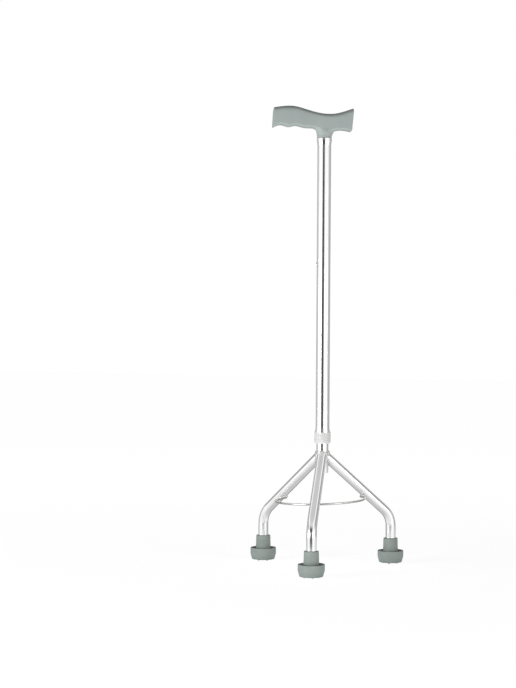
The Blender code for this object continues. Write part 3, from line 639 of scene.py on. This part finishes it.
def make_brace(look):
    """The brace rod: a round section carried round three quarters of a circle, with rounded ends."""
    start = LEG_AZIMUTHS["left"] - BRACE_OVERRUN
    end = LEG_AZIMUTHS["right"] + TURN + BRACE_OVERRUN
    angle = np.linspace(start, end, 200)
    line = brace_points(angle)
    ahead = unit(np.gradient(line, axis=0))
    up = unit(np.cross(ahead, [0.0, 0.0, 1.0]))
    side = np.cross(ahead, up)
    t = np.linspace(0.0, TURN / 4, 6)
    pull = np.concatenate([[0.0], ROD_R - ROD_ROUND * (1 - np.sin(t))])
    forward = np.concatenate([[0.0], ROD_ROUND * (1 - np.cos(t))])[:, None]
    scale = np.concatenate([pull, np.full(len(line) - 2, ROD_R), pull[::-1]])[:, None]
    tail = line[-1:] - forward[::-1] * ahead[-1:]
    centres = np.vstack([line[:1] + forward * ahead[:1], line[1:-1], tail])
    last = len(line) - 1
    repeats = np.concatenate([np.zeros(len(pull), int), np.arange(1, last), np.full(len(pull), last)])
    section = circle(full_turn(24))
    points = carried(centres, up[repeats] * scale, side[repeats] * scale, section)
    ring = np.broadcast_to(section * ROD_R, points.shape[:2] + (2,))
    straight = raised(ring, angle[repeats] * BRACE_RADIUS)
    return finished_grid("brace", points + STEM, look, "base", ["brace_rod"], straight=straight)


def make_tack(name, azimuth, look):
    """The weld between the brace and a leg: a flattened drop on the line of the rod, with a waved skin."""
    sideways = BRACE_SLIDE * (SLIDE_WAY @ (-math.sin(azimuth), math.cos(azimuth), 0.0))
    angle = azimuth - math.asin(sideways / BRACE_RADIUS)
    here, there = brace_points(np.array([angle, angle + 0.01]))
    along = unit(there - here)
    normal = turned_about(LEG_UP, azimuth, 0.0)
    run = turned_about(LEG_RUN, azimuth, 0.0)
    t = np.linspace(0.0, TURN / 2, 40)[:, None]
    b = full_turn(48)[None]
    skin = 1 + TACK_WAVE * np.sin(t) * (np.sin(9 * t) + np.sin(3 * b + 5 * t))
    points = (
        here
        + normal * ROD_R
        + (TACK_HALF_LENGTH * np.cos(t) * skin)[..., None] * along
        + (TACK_HALF_WIDTH * np.sin(t) * np.cos(b) * skin)[..., None] * run
        + (TACK_HEIGHT * np.sin(t) * np.sin(b) * skin)[..., None] * normal
    )
    return finished_grid(f"{name}_brace_weld", points + STEM, look, "base", [])


def stud_recesses(places):
    """Stepped holes in a sole, each from its cell's edge to the middle of its top.

    A ring is the hole's circle moved towards the cell's edge by its share, in the sole's plane,
    and then the circle again at the radii and heights of the recess.
    """
    u, v = rectangle_edge(STUD_CELL_COLUMNS, STUD_CELL_ROWS)
    reach = STUD_CIRCLE + STUD_CELL * v
    angle = u * STUD_CELL_ANGLE
    edge = np.stack([reach * np.cos(angle) - STUD_CIRCLE, reach * np.sin(angle)], -1)
    way = unit(edge)
    hole = STUD_R + SEAT_GAP
    shank = STUD_SHANK_R + SEAT_GAP
    share = np.array([1.0, 0.5, 0.2])[:, None, None]
    mouth = way * (hole + EASED)
    flat = mouth + (edge - mouth) * share
    radii = np.array([hole + EASED, hole + 0.3 * EASED, hole, hole, shank, shank, 0.0])
    collar = STUD_COLLAR + SEAT_GAP
    rise = [0.0, 0.3 * EASED, EASED, collar, collar, collar + STUD_SHANK, collar + STUD_SHANK]
    one = np.concatenate([flat, way * radii[:, None, None]]) + (STUD_CIRCLE, 0.0)
    one = raised(one, np.concatenate([np.zeros(3), rise]))
    return np.stack([turned_about(one, place, 0.0) for place in places])


def foot_place(azimuth):
    return STEM + (FOOT_REACH * math.cos(azimuth), FOOT_REACH * math.sin(azimuth), SOLE_HEIGHT)


def make_foot(name, azimuth, look):
    """A rubber foot: a turned body with its sole's cells left out for the stud recesses.

    The ring round its neck is dished, and rises to a crest beside the rim.
    """
    corners = [
        (0.0, FOOT_FLOOR),
        (SOCKET_R, FOOT_FLOOR),
        (SOCKET_R, FOOT_HEIGHT),
        (NECK_TOP_R, FOOT_HEIGHT),
        (NECK_FOOT_R, MOAT_FLOOR),
        (MOAT_R, MOAT_FLOOR),
        (MOAT_R, FLANGE_HEIGHT - RIM_DISH),
        (FLANGE_R - RIM_CREST, FLANGE_HEIGHT),
        (FLANGE_R, FLANGE_HEIGHT),
        (FLANGE_R, FLANGE_SIDE),
        (SOLE_R, 0.0),
        (STUD_CIRCLE + STUD_CELL, 0.0),
    ]
    upper = softened(corners, FOOT_ROUND, 7)
    sole = STUD_CIRCLE + np.linspace(STUD_CELL, -STUD_CELL, STUD_CELL_ROWS + 1)
    profile = np.vstack([upper, np.stack([sole, 0 * sole], -1)[1:], [(0.0, 0.0)]])
    sector = 2 * STUD_CELL_COLUMNS
    angles = STUD_TURN - STUD_CELL_ANGLE + full_turn(STUDS * sector)
    points = spun(profile, angles)
    quads = grid_quads(*points.shape[:2])
    keep = np.ones(quads.shape[:2], bool)
    start = len(upper) - 1
    keep[start : start + STUD_CELL_ROWS, np.arange(len(angles)) % sector < STUD_CELL_COLUMNS] = False
    points, quads = patched(points, quads[keep], stud_recesses(STUD_TURN + full_turn(STUDS)))
    points = turned_about(points, azimuth, foot_place(azimuth))
    return finished(f"{name}_foot", points, quads, look, "base", [f"foot_{name}"])


def make_insert(name, azimuth, look):
    """The washer in the foot's socket, with eased edges."""
    foot = FOOT_FLOOR + SEAT_GAP
    top = foot + INSERT_THICKNESS
    ring = [(INSERT_R, top), (INSERT_R, foot), (INSERT_BORE_R, foot), (INSERT_BORE_R, top)]
    points = spun(closed_profile(ring, EASED), full_turn(48)) + foot_place(azimuth)
    return finished_grid(f"{name}_washer", points, look, "base", [f"insert_{name}"], close_rows=True)


def make_studs(name, azimuth, look):
    """Five studs: a shank in the rubber, a collar flush in its recess, and a cone to the floor."""
    corners = [
        (0.0, STUD_COLLAR + STUD_SHANK),
        (STUD_SHANK_R, STUD_COLLAR + STUD_SHANK),
        (STUD_SHANK_R, STUD_COLLAR),
        (STUD_R, STUD_COLLAR),
        (STUD_R, 0.0),
        (STUD_POINT_R, -SOLE_HEIGHT),
        (0.0, -SOLE_HEIGHT),
    ]
    points = spun(softened(corners, STUD_ROUND), full_turn(32))
    for i in range(STUDS):
        turn = azimuth + STUD_TURN + i * TURN / STUDS
        place = foot_place(azimuth) + (STUD_CIRCLE * math.cos(turn), STUD_CIRCLE * math.sin(turn), 0.0)
        finished_grid(f"{name}_stud_{i + 1}", points + place, look, "base", [f"stud_{name}_{i + 1}"])


# The grip

GRIP_LONG = 82.4
GRIP_SHORT = 44.6
GRIP_HALF_WIDTH = 14.0
GRIP_TURN = math.radians(30.0)
GRIP_LONG_RAKE = 1.6
GRIP_SHORT_RAKE = 3.2
GRIP_SIDE_SWELL = 0.4
GRIP_CROWN_SWELL = 5.4
GRIP_BELLY_SWELL = 0.6
GRIP_EDGE_CREASE = 0.45
GRIP_CROWN_CREASE = 0.3
GRIP_END_CREASE = 0.95
NECK_BEND = 15.5
NECK_R = 11.8

# Cage sections of the grip in mm: share of the way, crown, underside and narrowing of each side
LONG_SECTIONS = (
    (1.00, 44.1, 15.4, 1.0),
    (0.81, 46.1, 22.9, 0.0),
    (0.63, 47.4, 15.2, -0.6),
    (0.46, 46.9, 21.8, -0.6),
    (0.28, 43.5, 15.6, 0.0),
)
NECK_SECTIONS = ((-1.0, 38.0, 16.9, 0.6), (0.0, 35.3, 15.0, 0.8), (1.0, 35.4, 11.6, 0.8))
SHORT_SECTIONS = ((0.42, 38.2, 14.7, 0.8), (1.00, 44.9, 11.2, 1.2))

# Rings of eight cage points down the neck, the spigot and its core:
# radius and height in mm, lean to the short side, and crease of the ring's edges
NECK_RINGS = (
    (NECK_R + 2.2, 9.5, 1.0, 0.0),
    (NECK_R, 3.6, 0.0, 0.0),
    (NECK_R, 0.0, 0.0, 1.0),
    (10.8, 0.0, 0.0, 1.0),
    (10.8, -3.0, 0.0, 0.0),
    (9.7, -11.0, 0.0, 0.0),
    (9.7, -36.5, 0.0, 0.6),
    (8.7, -38.0, 0.0, 1.0),
    (5.5, -38.0, 0.0, 1.0),
    (5.5, -30.0, 0.0, 0.0),
    (5.5, 12.0, 0.0, 0.9),
)


def grip_cage():
    """Cage points in mm from the neck's seat, as rings of eight, and the crease of each ring.

    A ring of the body goes from the near lower corner up the near side, over the crown and down
    the far side. The end rings lean along X in step with the height. A ring of the neck is a
    circle whose radius is divided by (2 + cos 45) / 3, which a subdivided ring shrinks by.
    """
    rows = [(-NECK_BEND - share * (GRIP_LONG - NECK_BEND), *rest) for share, *rest in LONG_SECTIONS]
    rows += [(share * NECK_BEND, *rest) for share, *rest in NECK_SECTIONS]
    rows += [(NECK_BEND + share * (GRIP_SHORT - NECK_BEND), *rest) for share, *rest in SHORT_SECTIONS]
    x, crown, under, less = np.array(rows).T[..., None]
    half = GRIP_HALF_WIDTH - less
    middle = (crown + under) / 2
    widths = np.array([-1, -1, -1, 0, 1, 1, 1, 0])
    swell = np.array([0, -1, 0, 0, 0, 1, 0, 0]) * GRIP_SIDE_SWELL
    rises = np.array([-1, 0, 1, 1, 1, 0, -1, -1])
    extra = np.array([0, 0, 0, GRIP_CROWN_SWELL, 0, 0, 0, -GRIP_BELLY_SWELL])
    y = half * widths + swell
    z = middle + (crown - under) / 2 * rises + extra
    rake = np.zeros_like(x)
    rake[0] = GRIP_LONG_RAKE
    rake[-1] = GRIP_SHORT_RAKE
    body = np.stack([x + rake * (z - middle) / (crown - under), y, z], -1)
    radius, height, lean, crease = np.array(NECK_RINGS).T
    eighths = np.array([-3, -2, -1, 0, 1, 2, 3, 4]) * TURN / 8
    control = (radius * 3 / (2 + math.cos(TURN / 8)))[:, None]
    neck = np.stack([control * np.cos(eighths) + lean[:, None], control * np.sin(eighths)], -1)
    neck = raised(neck, height)
    body_crease = np.zeros(len(body))
    body_crease[[0, -1]] = GRIP_END_CREASE
    return np.concatenate([body, neck]), np.concatenate([body_crease, crease])


def make_grip(look):
    """The moulded grip with its neck and spigot in one closed cage, rounded by subdivision.

    The neck starts from an opening of two cells in the underside. An end or the core's top is
    closed by four cells round its middle point. The edges along the body are creased, and the
    two beside the crown less than the others.
    """
    rings, ring_crease = grip_cage()
    bodies = len(rings) - len(NECK_RINGS)
    left = len(LONG_SECTIONS)
    count = len(rings) * 8
    walls = grid_quads(bodies, 8)
    keep = np.ones(walls.shape[:2], bool)
    keep[left : left + 2, 6:] = False
    first, middle, last = (np.arange(8) + 8 * (left + i) for i in range(3))
    opening = np.array([first[0], middle[0], last[0], last[7], last[6], middle[6], first[6], first[7]])
    neck = np.vstack([opening, np.arange(bodies * 8, count).reshape(-1, 8)])
    neck_walls = np.stack([neck[:-1], np.roll(neck[:-1], -1, 1), np.roll(neck[1:], -1, 1), neck[1:]], -1)
    ends = np.array([np.arange(8), np.arange(8) + 8 * (bodies - 1), np.arange(8) + count - 8])
    centres = np.arange(3) + count
    corner = np.arange(0, 8, 2)
    hubs = np.broadcast_to(centres[:, None], (3, 4))
    caps = np.stack([hubs, ends[:, (corner - 1) % 8], ends[:, corner], ends[:, corner + 1]], -1)
    points = np.vstack([rings.reshape(-1, 3), rings[[0, bodies - 1, -1]].mean(1)])
    points = turned_about(points * MM, GRIP_TURN, STEM + (0.0, 0.0, GRIP_SEAT_Z))
    quads = np.vstack([walls[keep], neck_walls.reshape(-1, 4), caps.reshape(-1, 4)])
    mesh = bpy.data.meshes.new("grip")
    mesh.from_pydata(points.tolist(), [], quads.tolist())
    pairs = np.zeros(len(mesh.edges) * 2, np.int64)
    mesh.edges.foreach_get("vertices", pairs)
    pairs = pairs.reshape(-1, 2)
    in_cage = (pairs < count).all(1)
    ring = np.minimum(pairs // 8, len(rings) - 1)
    same_ring = in_cage & (ring[:, 0] == ring[:, 1])
    column = pairs % 8
    lengthwise = in_cage & (ring < bodies).all(1) & (column[:, 0] == column[:, 1]) & (column[:, 0] % 2 == 0)
    by_crown = (column[:, 0] == 2) | (column[:, 0] == 4)
    edge_crease = np.where(by_crown, GRIP_CROWN_CREASE, GRIP_EDGE_CREASE)
    crease = np.where(same_ring, ring_crease[ring[:, 0]], np.where(lengthwise, edge_crease, 0.0))
    layer = mesh.attributes.new("crease_edge", "FLOAT", "EDGE")
    layer.data.foreach_set("value", crease.astype(np.float32))
    cleaned(mesh)
    piece = placed("grip", mesh, look, "shaft", ["handle"])
    rounding = piece.modifiers.new("rounding", "SUBSURF")
    rounding.levels = rounding.render_levels = 4
    depsgraph = bpy.context.evaluated_depsgraph_get()
    piece.data = bpy.data.meshes.new_from_object(piece.evaluated_get(depsgraph))
    piece.modifiers.remove(rounding)
    return piece


# Finishes


class Nodes:
    """Fills one node tree. A socket takes a plain value or another node's output."""

    def __init__(self, tree):
        self.tree = tree

    def feed(self, socket, value):
        if isinstance(value, bpy.types.NodeSocket):
            self.tree.links.new(value, socket)
        else:
            socket.default_value = value

    def add(self, kind, sockets=None, **settings):
        made = self.tree.nodes.new("ShaderNode" + kind)
        for setting, value in settings.items():
            setattr(made, setting, value)
        for socket, value in (sockets or {}).items():
            self.feed(made.inputs[socket], value)
        return made

    def number(self, operation, first, second=0.0):
        return self.add("Math", {0: first, 1: second}, operation=operation).outputs["Value"]

    def product(self, first, *others):
        for other in others:
            first = self.number("MULTIPLY", first, other)
        return first

    def ramp(self, value, start, end, low=0.0, high=1.0, shape="LINEAR"):
        """A number that goes from low to high as the value goes from start to end, and stays there."""
        ends = {"Value": value, "From Min": start, "From Max": end, "To Min": low, "To Max": high}
        return self.add("MapRange", ends, interpolation_type=shape).outputs["Result"]

    def step(self, value, start, end):
        """A smooth step of a value: 0 at start and 1 at end."""
        return self.ramp(value, start, end, shape="SMOOTHSTEP")

    def mix(self, factor, first, second):
        """first + (second - first) x factor, for numbers."""
        sockets = {"Factor": factor, "A": first, "B": second}
        return self.add("Mix", sockets, data_type="FLOAT").outputs["Result"]

    def part_along(self, place, way):
        """A place's or direction's part along a way."""
        return self.add("VectorMath", {0: place, 1: way}, operation="DOT_PRODUCT").outputs["Value"]

    def choice(self, factor, first, second):
        """A blend of two shaders."""
        return self.add("MixShader", {0: factor, 1: first, 2: second}).outputs[0]


class Finish(Nodes):
    """A material. What is the same all over is set on the shader's sockets."""

    def __init__(self, name, **plain):
        self.material = bpy.data.materials.new(name)
        self.material.use_nodes = True
        super().__init__(self.material.node_tree)
        self.shader = self.tree.nodes["Principled BSDF"]
        for socket, value in plain.items():
            self.shader.inputs[socket.replace("_", " ")].default_value = value

    def noise(self, place, scale, detail, roughness=0.5):
        sockets = {"Vector": place, "Scale": scale, "Detail": detail, "Roughness": roughness}
        return self.add("TexNoise", sockets).outputs["Fac"]

    def grain(self, scale, detail, roughness=0.5):
        """Noise in the piece's own metres: scale is the number of its cells in a metre."""
        return self.noise(self.add("TexCoord").outputs["Object"], scale, detail, roughness)

    def drawn(self, across, along):
        """Noise drawn out along a tube, from the place that each point has on the straight tube."""
        place = self.add("Attribute", attribute_name="straight").outputs["Vector"]
        stretched = self.add("Mapping", {"Vector": place, "Scale": (across, across, along)})
        return self.noise(stretched.outputs["Vector"], 1.0, 3.0)

    def share(self, noise, low, high):
        """A number between two, by the middle of a noise's range."""
        return self.ramp(noise, 0.3, 0.7, low, high)

    def colour(self, noise, first, second):
        """The shader's colour between two, by a noise."""
        sockets = {"Factor": self.share(noise, 0.0, 1.0), "A": (*first, 1.0), "B": (*second, 1.0)}
        tone = self.add("Mix", sockets, data_type="RGBA").outputs["Result"]
        self.feed(self.shader.inputs["Base Color"], tone)

    def rough(self, value):
        self.feed(self.shader.inputs["Roughness"], value)

    def relief(self, height, strength, depth):
        bump = self.add("Bump", {"Height": height, "Strength": strength, "Distance": depth})
        self.feed(self.shader.inputs["Normal"], bump.outputs["Normal"])


def polished_aluminium():
    """Bright drawn tube: fine lines along it, and faint smears from hands and polishing."""
    made = Finish("polished aluminium", Metallic=1.0)
    lines = made.drawn(1400.0, 13.4)
    smears = made.grain(45.0, 4.0)
    made.colour(smears, (0.90, 0.905, 0.905), (0.955, 0.955, 0.95))
    made.rough(made.number("ADD", made.share(lines, 0.09, 0.15), made.share(smears, 0.0, 0.05)))
    made.relief(lines, 0.06, 0.02 * MM)
    return made.material


def weld_metal():
    """Laid aluminium, duller and mottled."""
    made = Finish("weld metal", Metallic=1.0)
    mottle = made.grain(420.0, 4.0, 0.6)
    made.colour(mottle, (0.46, 0.46, 0.45), (0.80, 0.80, 0.79))
    made.rough(made.share(mottle, 0.56, 0.38))
    made.relief(mottle, 0.3, 0.2 * MM)
    return made.material


def drawn_rod():
    """Plain steel rod: grey, with drawing lines and a few dull patches."""
    made = Finish("drawn rod", Metallic=1.0)
    lines = made.drawn(2600.0, 14.0)
    made.colour(made.grain(110.0, 3.0), (0.46, 0.46, 0.45), (0.66, 0.66, 0.65))
    made.rough(made.share(lines, 0.24, 0.38))
    made.relief(lines, 0.1, 0.03 * MM)
    return made.material


def plated_steel():
    """Plated steel of the button, the studs, the spring and the washers."""
    made = Finish("plated steel", Metallic=1.0)
    haze = made.grain(600.0, 3.0)
    made.colour(haze, (0.50, 0.50, 0.485), (0.62, 0.62, 0.60))
    made.rough(made.share(haze, 0.14, 0.25))
    made.relief(haze, 0.08, 0.05 * MM)
    return made.material


def moulded_grip():
    """Matt grey plastic with the fine grain of an etched mould, a little shinier where hands rub."""
    made = Finish("moulded grip", IOR=1.5)
    wide = made.grain(28.0, 2.0)
    made.colour(wide, (0.372, 0.424, 0.410), (0.412, 0.468, 0.451))
    made.rough(made.share(wide, 0.62, 0.5))
    made.relief(made.grain(2600.0, 2.0), 0.22, 0.12 * MM)
    return made.material


def moulded_rubber():
    """Grey rubber: dull, finely grained, with a dusty bloom in patches."""
    made = Finish("moulded rubber", IOR=1.45)
    bloom = made.grain(70.0, 4.0)
    made.colour(bloom, (0.286, 0.331, 0.310), (0.340, 0.386, 0.362))
    made.rough(made.share(bloom, 0.68, 0.8))
    made.relief(made.grain(1800.0, 3.0), 0.25, 0.15 * MM)
    return made.material


def natural_nylon():
    """Pale plastic that lets some light through, a touch yellow in its depth."""
    depths = (1.5 * MM, 1.45 * MM, 1.3 * MM)
    made = Finish(
        "natural nylon", IOR=1.53, Subsurface_Weight=0.15, Subsurface_Radius=depths, Subsurface_Scale=1.0
    )
    cloud = made.grain(130.0, 2.0)
    made.colour(cloud, (0.722, 0.728, 0.718), (0.767, 0.773, 0.763))
    made.rough(made.share(cloud, 0.46, 0.54))
    made.relief(cloud, 0.05, 0.1 * MM)
    return made.material


# Studio. The light belongs to the room: its places and directions are fixed, and none follows the view

CAMERA_AZIMUTH = math.radians(22.5)
CAMERA_DISTANCE = 2.8
CAMERA_HEIGHT = 0.4015
CAMERA_ROLL = 0.0065
FOCAL_PIXELS = 1750.0
IMAGE_WIDTH = 516
IMAGE_HEIGHT = 688
CENTRE_X = 323.2
CENTRE_Y = 316.0
SENSOR = 36.0
FRONTWARD = (math.sin(CAMERA_AZIMUTH), -math.cos(CAMERA_AZIMUTH), 0.0)
RIGHTWARD = (math.cos(CAMERA_AZIMUTH), math.sin(CAMERA_AZIMUTH), 0.0)
LAMP_AIM_HEIGHT = 0.38
LAMP_ELEVATION = -3.0
LAMP_DISTANCE = 2.2
LAMP_WIDTH = 1.2
LAMP_HEIGHT = 0.5
FLOOR_HALF_SIZE = 8.0
FLOOR_DROP = 0.1 * MM


def point_camera():
    """The photograph's view: its focal length in pixels, its principal point by shift, and its small roll."""
    data = bpy.data.cameras.new("view")
    data.sensor_fit = "VERTICAL"
    data.sensor_height = SENSOR
    data.lens = FOCAL_PIXELS / IMAGE_HEIGHT * SENSOR
    data.shift_x = (IMAGE_WIDTH / 2 - CENTRE_X) / IMAGE_HEIGHT
    data.shift_y = (CENTRE_Y - IMAGE_HEIGHT / 2) / IMAGE_HEIGHT
    camera = put("view", data)
    x, y = (STEM[i] + FRONTWARD[i] * CAMERA_DISTANCE for i in range(2))
    level = Matrix.Rotation(CAMERA_AZIMUTH, 4, "Z") @ Matrix.Rotation(TURN / 4, 4, "X")
    place = Matrix.Translation((x, y, CAMERA_HEIGHT))
    camera.matrix_world = place @ level @ Matrix.Rotation(CAMERA_ROLL, 4, "Z")
    bpy.context.scene.camera = camera


def light_world():
    """White all round for the camera, and a plain soft level for matt surfaces.

    Bright metal mirrors a tent of white cloth: open in a narrow gap in front, grey at the back, and
    a little darker overhead and below. A zone's edges are smooth steps in a direction's parts along
    the front, the right and the height, each from -1 to 1.
    """
    scene = bpy.context.scene
    scene.view_settings.view_transform = "Standard"
    scene.world = bpy.data.worlds.new("studio")
    scene.world.use_nodes = True
    sky = Nodes(scene.world.node_tree)
    sky.tree.nodes.clear()
    step, mix, product, number = sky.step, sky.mix, sky.product, sky.number
    way = sky.add("TexCoord").outputs["Generated"]
    front = sky.part_along(way, FRONTWARD)
    right = sky.part_along(way, RIGHTWARD)
    height = sky.add("SeparateXYZ", {"Vector": way}).outputs["Z"]
    on_right = step(right, -0.4, 0.4)

    # The gap in front, wider below and above than at the middle, with a lit streak across it
    wide = number("MAXIMUM", step(height, -0.07, -0.12), step(height, 0.25, 0.35))
    from_middle = number("ABSOLUTE", number("ADD", right, mix(wide, 0.115, 0.16)))
    from_edge = number("SUBTRACT", from_middle, mix(wide, 0.0, 0.2))
    over_front = step(number("ADD", front, height), 0.2, 0.5)
    gap = product(step(from_edge, 0.34, 0.24), step(height, -0.5, -0.4), over_front)
    streak = product(step(height, 0.08, 0.2), step(height, 0.4, 0.3))
    gap_level = mix(step(height, 0.45, 0.75), mix(streak, 0.06, 0.22), 0.75)

    # The grey back, which comes further round on the right and is another grey below
    back = mix(on_right, step(front, -0.05, -0.3), step(front, 0.5, -0.4))
    back = product(back, step(height, 0.3, 0.12))
    back_level = mix(step(height, -0.09, -0.13), mix(on_right, 0.53, 0.43), mix(on_right, 0.65, 0.8))

    # A dark arc above eye level, from the sides to the back
    arc = product(
        step(height, 0.15, 0.3),
        mix(on_right, step(height, 0.55, 0.4), step(height, 0.65, 0.5)),
        step(front, 0.7, -0.2),
        mix(on_right, 1.0, step(front, -0.8, -0.45)),
    )
    behind_below = product(step(front, -0.4, -0.65), step(height, -0.1, -0.3))
    level = mix(gap, 1.0, gap_level)
    level = mix(back, level, back_level)
    level = mix(arc, level, 0.3)
    level = mix(step(height, 0.72, 0.86), level, 0.62)
    level = mix(step(height, -0.25, -1.0), level, 0.58)
    level = mix(behind_below, level, 0.25)
    overhead = mix(step(height, 0.0, 0.45), 0.4, 0.045)
    mirrored, matt, white = (
        sky.add("Background", {"Color": (1.0, 1.0, 1.0, 1.0), "Strength": strength}).outputs[0]
        for strength in (level, overhead, 1.0)
    )
    rays = sky.add("LightPath").outputs
    seen = number("MAXIMUM", rays["Is Camera Ray"], rays["Is Transmission Ray"])
    light = sky.choice(seen, sky.choice(rays["Is Glossy Ray"], matt, mirrored), white)
    sky.add("OutputWorld", {"Surface": light})


def lay_floor():
    """A white floor that the camera sees lit to white, but for the cane's shadow.

    It throws light up at matt surfaces, more in front and less where something stands close over
    it. Mirrors look past it into the tent, but for two patches in front and behind that glow for
    mirrors alone, painted reflections of sheets lying there.
    """
    made = Finish("floor")
    made.tree.nodes.remove(made.shader)
    step, mix, product = made.step, made.mix, made.product
    place = made.add("TexCoord").outputs["Object"]
    ahead, aside = (
        made.number("SUBTRACT", made.part_along(place, way), float(STEM @ way))
        for way in (FRONTWARD, RIGHTWARD)
    )

    def glow(strength):
        return made.add("Emission", {"Strength": strength}).outputs[0]

    paint = made.add("BsdfDiffuse", {"Color": (0.58, 0.58, 0.58, 1.0)}).outputs[0]
    lit = glow(mix(step(ahead, 0.4, -1.6), 0.885, 0.95))
    seen = made.add("AddShader", {0: paint, 1: lit}).outputs[0]
    in_front = product(step(ahead, 0.13, 0.2), step(ahead, 0.5, 0.35))
    open_share = made.add("AmbientOcclusion", {"Distance": 0.06}).outputs["AO"]
    shade = mix(step(open_share, 0.5, 1.0), 0.3, 1.0)
    bounce = glow(product(mix(in_front, 0.74, 1.35), shade))
    # Painted reflections: two floor patches, light in front and grey behind, glow for mirror rays alone
    front_mirror_glow = product(step(ahead, 0.05, 0.09), step(ahead, 0.45, 0.42))
    back_mirror_glow = product(step(ahead, -0.2, -0.26), step(ahead, -0.7, -0.6))
    front_level = mix(step(ahead, 0.05, 0.25), 0.82, 0.95)
    back_level = mix(step(aside, -0.3, -0.42), 0.28, 0.5)
    mirror_glow = glow(mix(step(ahead, 0.0, -0.1), front_level, back_level))
    clear = made.add("BsdfTransparent").outputs[0]
    mirrored = made.choice(made.number("MAXIMUM", front_mirror_glow, back_mirror_glow), clear, mirror_glow)
    rays = made.add("LightPath").outputs
    light = made.choice(rays["Is Glossy Ray"], made.choice(rays["Is Camera Ray"], bounce, seen), mirrored)
    made.feed(made.tree.nodes["Material Output"].inputs["Surface"], light)
    mesh = bpy.data.meshes.new("floor")
    corners = np.array([(-1, -1), (1, -1), (1, 1), (-1, 1)]) * FLOOR_HALF_SIZE
    mesh.from_pydata(np.column_stack([corners, np.full(4, -FLOOR_DROP)]).tolist(), [], [(0, 1, 2, 3)])
    mesh.materials.append(made.material)
    floor = put("floor", mesh)


def add_lamp(name, azimuth, watts):
    """A soft box that faces the middle of the cane, at an azimuth from the camera's side."""
    data = bpy.data.lights.new(name, "AREA")
    data.shape = "RECTANGLE"
    data.size = LAMP_WIDTH
    data.size_y = LAMP_HEIGHT
    data.energy = watts
    lamp = put(name, data)
    around = Matrix.Rotation(CAMERA_AZIMUTH + math.radians(azimuth), 4, "Z")
    back = around @ Matrix.Rotation(TURN / 4 - math.radians(LAMP_ELEVATION), 4, "X")
    middle = Matrix.Translation((STEM[0], STEM[1], LAMP_AIM_HEIGHT))
    lamp.matrix_world = middle @ back @ Matrix.Translation((0.0, 0.0, LAMP_DISTANCE))


aluminium = (polished_aluminium(), "polished_aluminium")
weld = weld_metal()
rod = (drawn_rod(), "rod_steel")
plated = (plated_steel(), "bright_steel")
nylon = (natural_nylon(), "clamp_plastic")
rubber = (moulded_rubber(), "grey_rubber")

make_upper_tube(aluminium)
make_lower_tube(aluminium)
make_button(plated)
make_spring(plated)
make_bushing(nylon)
make_nut(nylon)
make_grip((moulded_grip(), "grip_plastic"))
make_brace(rod)
for leg_name, leg_azimuth in LEG_AZIMUTHS.items():
    make_leg(leg_name, leg_azimuth, aluminium)
    make_seam(leg_name, leg_azimuth, (weld, "polished_aluminium"))
    make_tack(leg_name, leg_azimuth, (weld, "rod_steel"))
    make_foot(leg_name, leg_azimuth, rubber)
    make_insert(leg_name, leg_azimuth, plated)
    make_studs(leg_name, leg_azimuth, plated)

point_camera()
light_world()
lay_floor()
add_lamp("left soft box", -55.0, 24.4)
add_lamp("right soft box", 46.0, 13.4)
